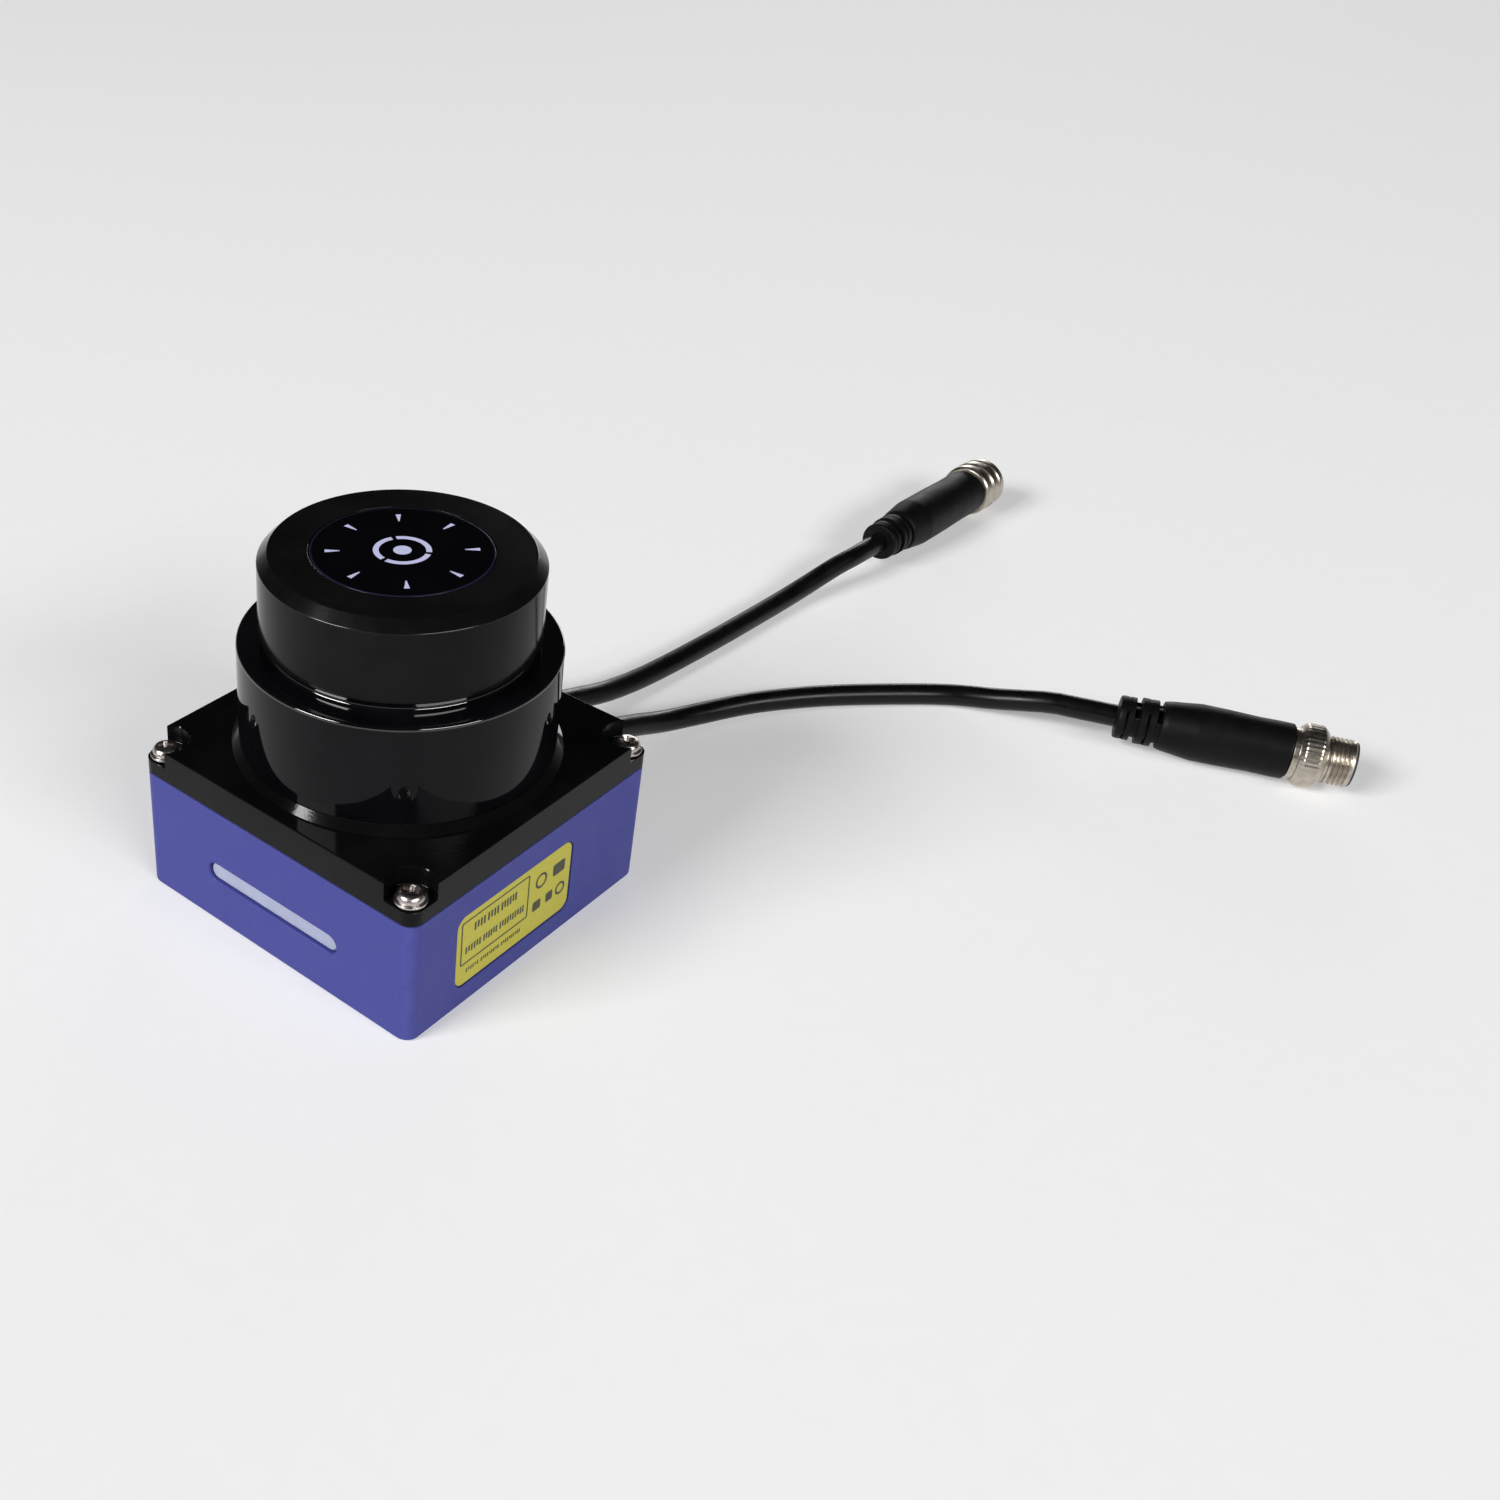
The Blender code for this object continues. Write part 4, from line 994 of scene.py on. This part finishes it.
def housing():
    top, lip = BODY_TOP - SEAM, 0.00020
    layers = []
    for i in range(6):
        a = i / 5.0 * math.pi / 2.0
        drop = FOOT_EDGE * (1.0 - math.sin(a))
        layers.append(housing_outline(drop, FOOT_EDGE * (1.0 - math.cos(a))))
    for i in range(3):
        a = i / 2.0 * math.pi / 2.0
        drop = lip * (1.0 - math.cos(a))
        layers.append(housing_outline(drop, top - lip + lip * math.sin(a)))
    body = stack(layers)
    cavity = rounded(WALL_IN, WALL_IN, CAVITY_CORNER)
    rebate = rounded(REBATE_HALF, REBATE_HALF, REBATE_CORNER)
    cut(body, stack((level(cavity, FLOOR_TOP), level(cavity, 0.034))))
    cut(body, stack((level(rebate, REBATE_Z), level(rebate, 0.034))))
    for x, y in four_corners(BOSS):
        cut(body, rod(x, y, SCREW_HOLE_END, 0.034, SCREW_HOLE_R))
    for x, y in four_corners(MOUNT_HOLE_AT):
        side = [(0.0, -0.001), (MOUNT_HOLE_LIP_R, -0.001), (MOUNT_HOLE_LIP_R, 0.0)]
        side += [(MOUNT_HOLE_R, 0.0005), (MOUNT_HOLE_R, MOUNT_HOLE_DEEP), (0.0, MOUNT_HOLE_DEEP)]
        cut(body, moved(lathe(side, 40, None, False), Matrix.Translation((x, y, 0.0))))
        join(body, rod(x, y, FLOOR_TOP - 0.0006, POST_TOP, POST_R, 32))
    half_w, half_h = LIGHT_LEN / 2.0 + GAP, LIGHT_H / 2.0 + GAP
    flare = 0.00025
    slot = []
    for grow, y in ((flare + 0.005, -BODY_HALF - 0.005), (0.0, -BODY_HALF + flare), (0.0, -0.030)):
        shape = rounded(half_w + grow, half_h + grow, half_h + grow - 1e-5, 12)
        slot.append(facing_front(shape, 0.0, LIGHT_Z, y))
    cut(body, stack(slot))
    recess = []
    for grow, x in ((0.0, BODY_HALF - LABEL_RECESS), (0.0, BODY_HALF - 0.0001), (0.0051, BODY_HALF + 0.005)):
        shape = rounded(LABEL_W / 2.0 + GAP + grow, LABEL_H / 2.0 + GAP + grow, LABEL_CORNER + GAP + grow)
        recess.append(facing_side(shape, LABEL_Y, LABEL_Z, x))
    cut(body, stack(recess))
    for x in (-EXIT_X, EXIT_X):
        hole = circle(GLAND_HOLE_R, 48)
        cut(body, stack([facing_front(hole, x, EXIT_Z, y) for y in (0.030, 0.045)]))
    show(body, "housing_body", "blue_paint", "scanner", "blue_paint", "base_housing")


def cover():
    layers = []
    low, lip = BODY_TOP + SEAM, 0.00015
    for drop, z in ((lip, low), (0.3 * lip, low + 0.3 * lip), (0.0, low + lip)):
        layers.append(housing_outline(drop, z))
    for i in range(5):
        a = i / 4.0 * math.pi / 2.0
        drop = PLATE_EDGE * (1.0 - math.cos(a))
        z = PLATE_TOP - PLATE_EDGE * (1.0 - math.sin(a))
        layers.append(housing_outline(drop, z))
    body = stack(layers)

    foot_r = WINDOW_R + FOOT_RUN
    collar = soften((
        (COVER_BORE_R - 0.001, 0.0370), (foot_r + 0.0005, 0.0370), (foot_r + 0.0005, PLATE_TOP - 0.0005),
        (WINDOW_R, PLATE_TOP + FOOT_RUN, 0.0002), (WINDOW_R - 0.0001, COLLAR_TOP),
        (COVER_BORE_R - 0.001, COLLAR_TOP),
    ), 4)
    join(body, lathe(collar, 160))
    hollow = rounded(COVER_HOLLOW, COVER_HOLLOW, COVER_HOLLOW_CORNER)
    cut(body, stack((level(hollow, 0.029), level(hollow, COVER_ROOF))))
    cut(body, rod(0.0, 0.0, 0.034, 0.045, COVER_BORE_R, 96))
    groove = ((0.0329, 0.0398), (0.0347, 0.0398), (0.0347, 0.0420), (0.0329, 0.0420))
    cut(body, lathe(groove, 96))
    rim = 0.00022
    pocket = soften((
        (0.0, POCKET_FLOOR), (POCKET_R, POCKET_FLOOR, 0.0005), (POCKET_R, PLATE_TOP - rim),
        (POCKET_R + rim, PLATE_TOP), (POCKET_R + rim, 0.042), (0.0, 0.042),
    ), 4, False)
    for x, y in four_corners(BOSS):
        cut(body, moved(lathe(pocket, 64, None, False), Matrix.Translation((x, y, 0.0))))
        cut(body, rod(x, y, 0.029, 0.036, SCREW_HOLE_R))
    show(body, "cover_plate", "black_plastic", "scanner", "black_plastic", "top_cover", sharp=30.0)


def plate(half_x, half_y, z):
    """A rectangle of the given half sizes at height z."""
    return level(((-half_x, -half_y), (half_x, -half_y), (half_x, half_y), (-half_x, half_y)), z)


def corner_screw(index, x, y):
    seat = POCKET_FLOOR + GAP + WASHER_T + 0.00002
    profile = soften((
        (0.0, 0.0240), (0.0012, 0.0240), (0.0015, 0.0244), (0.0015, seat), (0.0030, seat, 0.0002),
        (0.0030, seat + 0.0009, 0.0009), (0.0024, seat + 0.0018, 0.0012), (0.0, seat + 0.0021),
    ), 6, False)
    body = lathe(profile, 64, None, False)
    low, high = seat + 0.0006, seat + 0.0040
    deep, wide, tip = 0.00026, 0.00048, 0.00175
    for turn in (0.0, math.pi / 2.0):
        mouth = plate(tip, wide, seat + 0.0020)
        blade = stack((plate(0.0009, deep, low), mouth, plate(tip + 0.0003, wide + 0.0001, high)))
        cut(body, moved(blade, Matrix.Rotation(turn, 4, "Z")))
    moved(body, Matrix.Translation((x, y, 0.0)) @ Matrix.Rotation(math.radians(17.0 + 31.0 * index), 4, "Z"))
    show(body, f"screw_{index}", "steel", "scanner", "steel", f"corner_screw_{index}", sharp=28.0)
    low = POCKET_FLOOR + GAP
    high = low + WASHER_T
    ring = soften(((0.00185, low), (0.0035, low, 0.0001), (0.0035, high, 0.0002), (0.00185, high)), 4)
    washer = moved(lathe(ring, 64), Matrix.Translation((x, y, 0.0)))
    show(washer, f"washer_{index}", "steel", "scanner", "steel", f"corner_washer_{index}")


# ============================================================================
# drums, display, light bar and label
# ============================================================================
def drum():
    inner = WINDOW_R - WINDOW_WALL
    profile = soften((
        (inner, WINDOW_FOOT), (WINDOW_R, WINDOW_FOOT, 0.00015), (WINDOW_R, LEDGE_Z, 0.0007),
        (NECK_R, LEDGE_Z, 0.0010), (NECK_R, NECK_TOP, 0.0001), (NECK_IN_R, NECK_TOP),
        (NECK_IN_R, LEDGE_Z - LEDGE_T), (inner, LEDGE_Z - LEDGE_T),
    ), 8)
    body = lathe(profile, 192)
    show(body, "drum_window", "window_plastic", "scanner", "window_plastic", "scan_window", sharp=40.0)


def cap():
    inner = CAP_R - CAP_WALL
    profile = soften((
        (inner, CAP_FOOT), (CAP_R, CAP_FOOT, 0.0003), (CAP_R, CAP_TOP - CAP_CHAMFER, 0.0004),
        (CAP_R - CAP_CHAMFER, CAP_TOP, 0.0004), (DISPLAY_R, CAP_TOP, 0.0001), (DISPLAY_R, DISPLAY_SEAT),
        (DIFFUSER_R, DISPLAY_SEAT), (DIFFUSER_R, CAP_CEILING), (inner, CAP_CEILING),
    ), 6)
    body = lathe(profile, 192)
    for i in range(3):
        a = math.radians(90.0 + 120.0 * i)
        join(body, rod(0.0222 * math.cos(a), 0.0222 * math.sin(a), 0.0812, 0.0834, 0.0016, 24))
    show(body, "head_cap", "cap_plastic", "scanner", "black_plastic", "upper_cap", sharp=40.0)


def display():
    radius, low = DISPLAY_R - GAP, DISPLAY_SEAT + GAP
    high = LENS_TOP - 0.00002
    profile = soften(((0.0, low), (radius, low), (radius, high, 0.00020), (0.0, high)), 4, False)
    disc = lathe(profile, 128, None, False)
    show(disc, "display_disc", "display_glass", "scanner", "display_glass", "display_lens")
    marks = []
    low, high = high + 0.000005, LENS_TOP + 0.00001
    for i in range(8):
        wedge = ((0.0129, -0.00012), (0.0160, -0.00058), (0.0160, 0.00058), (0.0129, 0.00012))
        mark = stack((level(wedge, low), level(wedge, high)))
        marks.append(moved(mark, Matrix.Rotation(math.radians(45.0 * i), 4, "Z")))
    for start, end in ((35.0, 145.0), (155.0, 265.0), (275.0, 385.0)):
        turns = [math.radians(start + (end - start) * k / 16.0) for k in range(17)]
        band = [(0.0061 * math.cos(a), 0.0061 * math.sin(a)) for a in turns]
        band += [(0.0049 * math.cos(a), 0.0049 * math.sin(a)) for a in reversed(turns)]
        marks.append(stack((level(band, low), level(band, high))))
    marks.append(rod(0.0, 0.0, low, high, 0.0019, 40))
    show(merge(marks), "display_marks", "diffuser", "scanner", "diffuser", weighted=False)


def light_bar():
    half_h = LIGHT_H / 2.0
    face, back = -BODY_HALF + LIGHT_RECESS, -WALL_IN + GAP
    layers = []
    for shrink, y in ((0.00050, face), (0.00020, face + 0.00008), (0.0, face + 0.0003), (0.0, back)):
        outline = rounded(LIGHT_LEN / 2.0 - shrink, half_h - shrink, half_h - shrink - 1e-5, 12)
        layers.append(facing_front(outline, 0.0, LIGHT_Z, y))
    flange = rounded(0.0208, 0.0035, 0.0034, 12)
    layers += [facing_front(flange, 0.0, LIGHT_Z, y) for y in (back, back + 0.0012)]
    show(stack(layers), "light_bar", "light_guide", "scanner", "light_guide", "status_light_guide")


def label():
    outline = rounded(LABEL_W / 2.0, LABEL_H / 2.0, LABEL_CORNER)
    inner = rounded(LABEL_W / 2.0 - 0.00006, LABEL_H / 2.0 - 0.00006, LABEL_CORNER - 0.00006)
    face = BODY_HALF - LABEL_RECESS + LABEL_T
    back = BODY_HALF - LABEL_RECESS + 0.00001
    layers = [facing_side(outline, LABEL_Y, LABEL_Z, x) for x in (back, face - 0.00006)]
    layers.append(facing_side(inner, LABEL_Y, LABEL_Z, face))
    show(stack(layers), "label_plate", "label_film", "scanner", "label_film", "side_label")

    low, high = face + 0.000005, face + INK_T
    ink = []

    def bar(y0, y1, z0, z1, corner=0.0002):
        outline = rounded((y1 - y0) / 2.0, (z1 - z0) / 2.0, corner, 4)
        ink.append(stack([facing_side(outline, (y0 + y1) / 2.0, (z0 + z1) / 2.0, x) for x in (low, high)]))

    def blocks(y0, y1, z0, z1, wide):
        """A run of small plain blocks that stands for one printed word."""
        count = max(2, round((y1 - y0) / (1.6 * wide)))
        for i in range(count):
            at = y0 + (y1 - y0 - wide) * i / (count - 1)
            bar(at, at + wide, z0 + (0.0003 if i % 3 == 1 else 0.0), z1, 0.3 * wide)

    def ring(y, z, outer, inner):
        body = stack([facing_side(circle(outer, 40), y, z, x) for x in (low, high)])
        cut(body, stack([facing_side(circle(inner, 40), y, z, x) for x in (low - 0.001, high + 0.001)]))
        ink.append(body)

    frame_low, frame_high = (-0.0238, 0.0110), (-0.0013, 0.0228)
    middle_y, middle_z = (frame_low[0] + frame_high[0]) / 2.0, (frame_low[1] + frame_high[1]) / 2.0
    half_w, half_h = (frame_high[0] - frame_low[0]) / 2.0, (frame_high[1] - frame_low[1]) / 2.0
    line = 0.00040
    outer = rounded(half_w, half_h, 0.0005, 4)
    border = stack([facing_side(outer, middle_y, middle_z, x) for x in (low, high)])
    window = rounded(half_w - line, half_h - line, 0.0003, 4)
    cut(border, stack([facing_side(window, middle_y, middle_z, x) for x in (low - 0.001, high + 0.001)]))
    ink.append(border)
    for y0, y1 in ((-0.0196, -0.0160), (-0.0152, -0.0116), (-0.0108, -0.0056)):
        blocks(y0, y1, 0.0186, 0.0208, 0.00058)
    for y0, y1 in ((-0.0222, -0.0172), (-0.0164, -0.0118), (-0.0110, -0.0028)):
        blocks(y0, y1, 0.0136, 0.0155, 0.00052)
    for y0, y1 in ((-0.0217, -0.0176), (-0.0168, -0.0108), (-0.0100, -0.0036)):
        blocks(y0, y1, 0.0083, 0.0094, 0.00040)
    ring(0.0029, 0.0188, 0.0020, 0.0014)
    bar(0.0070, 0.0112, 0.0172, 0.0204, 0.0006)
    bar(0.0004, 0.0032, 0.0112, 0.0138, 0.0005)
    bar(0.0050, 0.0074, 0.0112, 0.0138, 0.0005)
    ring(0.0101, 0.0125, 0.0017, 0.0011)
    show(merge(ink), "label_print", "label_ink", "scanner", "label_film", weighted=False)


def dress_inner_nodes():
    """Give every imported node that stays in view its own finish."""
    for name, node in frame["nodes"].items():
        if node.hide_render:
            continue
        look = next(s["material_slot"] for s in frame["record"]["subparts"] if s["node"] == name)
        for slot in node.material_slots:
            slot.material = material(look)


def build():
    add_studio()
    add_cables()
    housing()
    cover()
    for index, (x, y) in enumerate(four_corners(BOSS), 1):
        corner_screw(index, x, y)
    drum()
    cap()
    display()
    light_bar()
    label()
    dress_inner_nodes()


build()
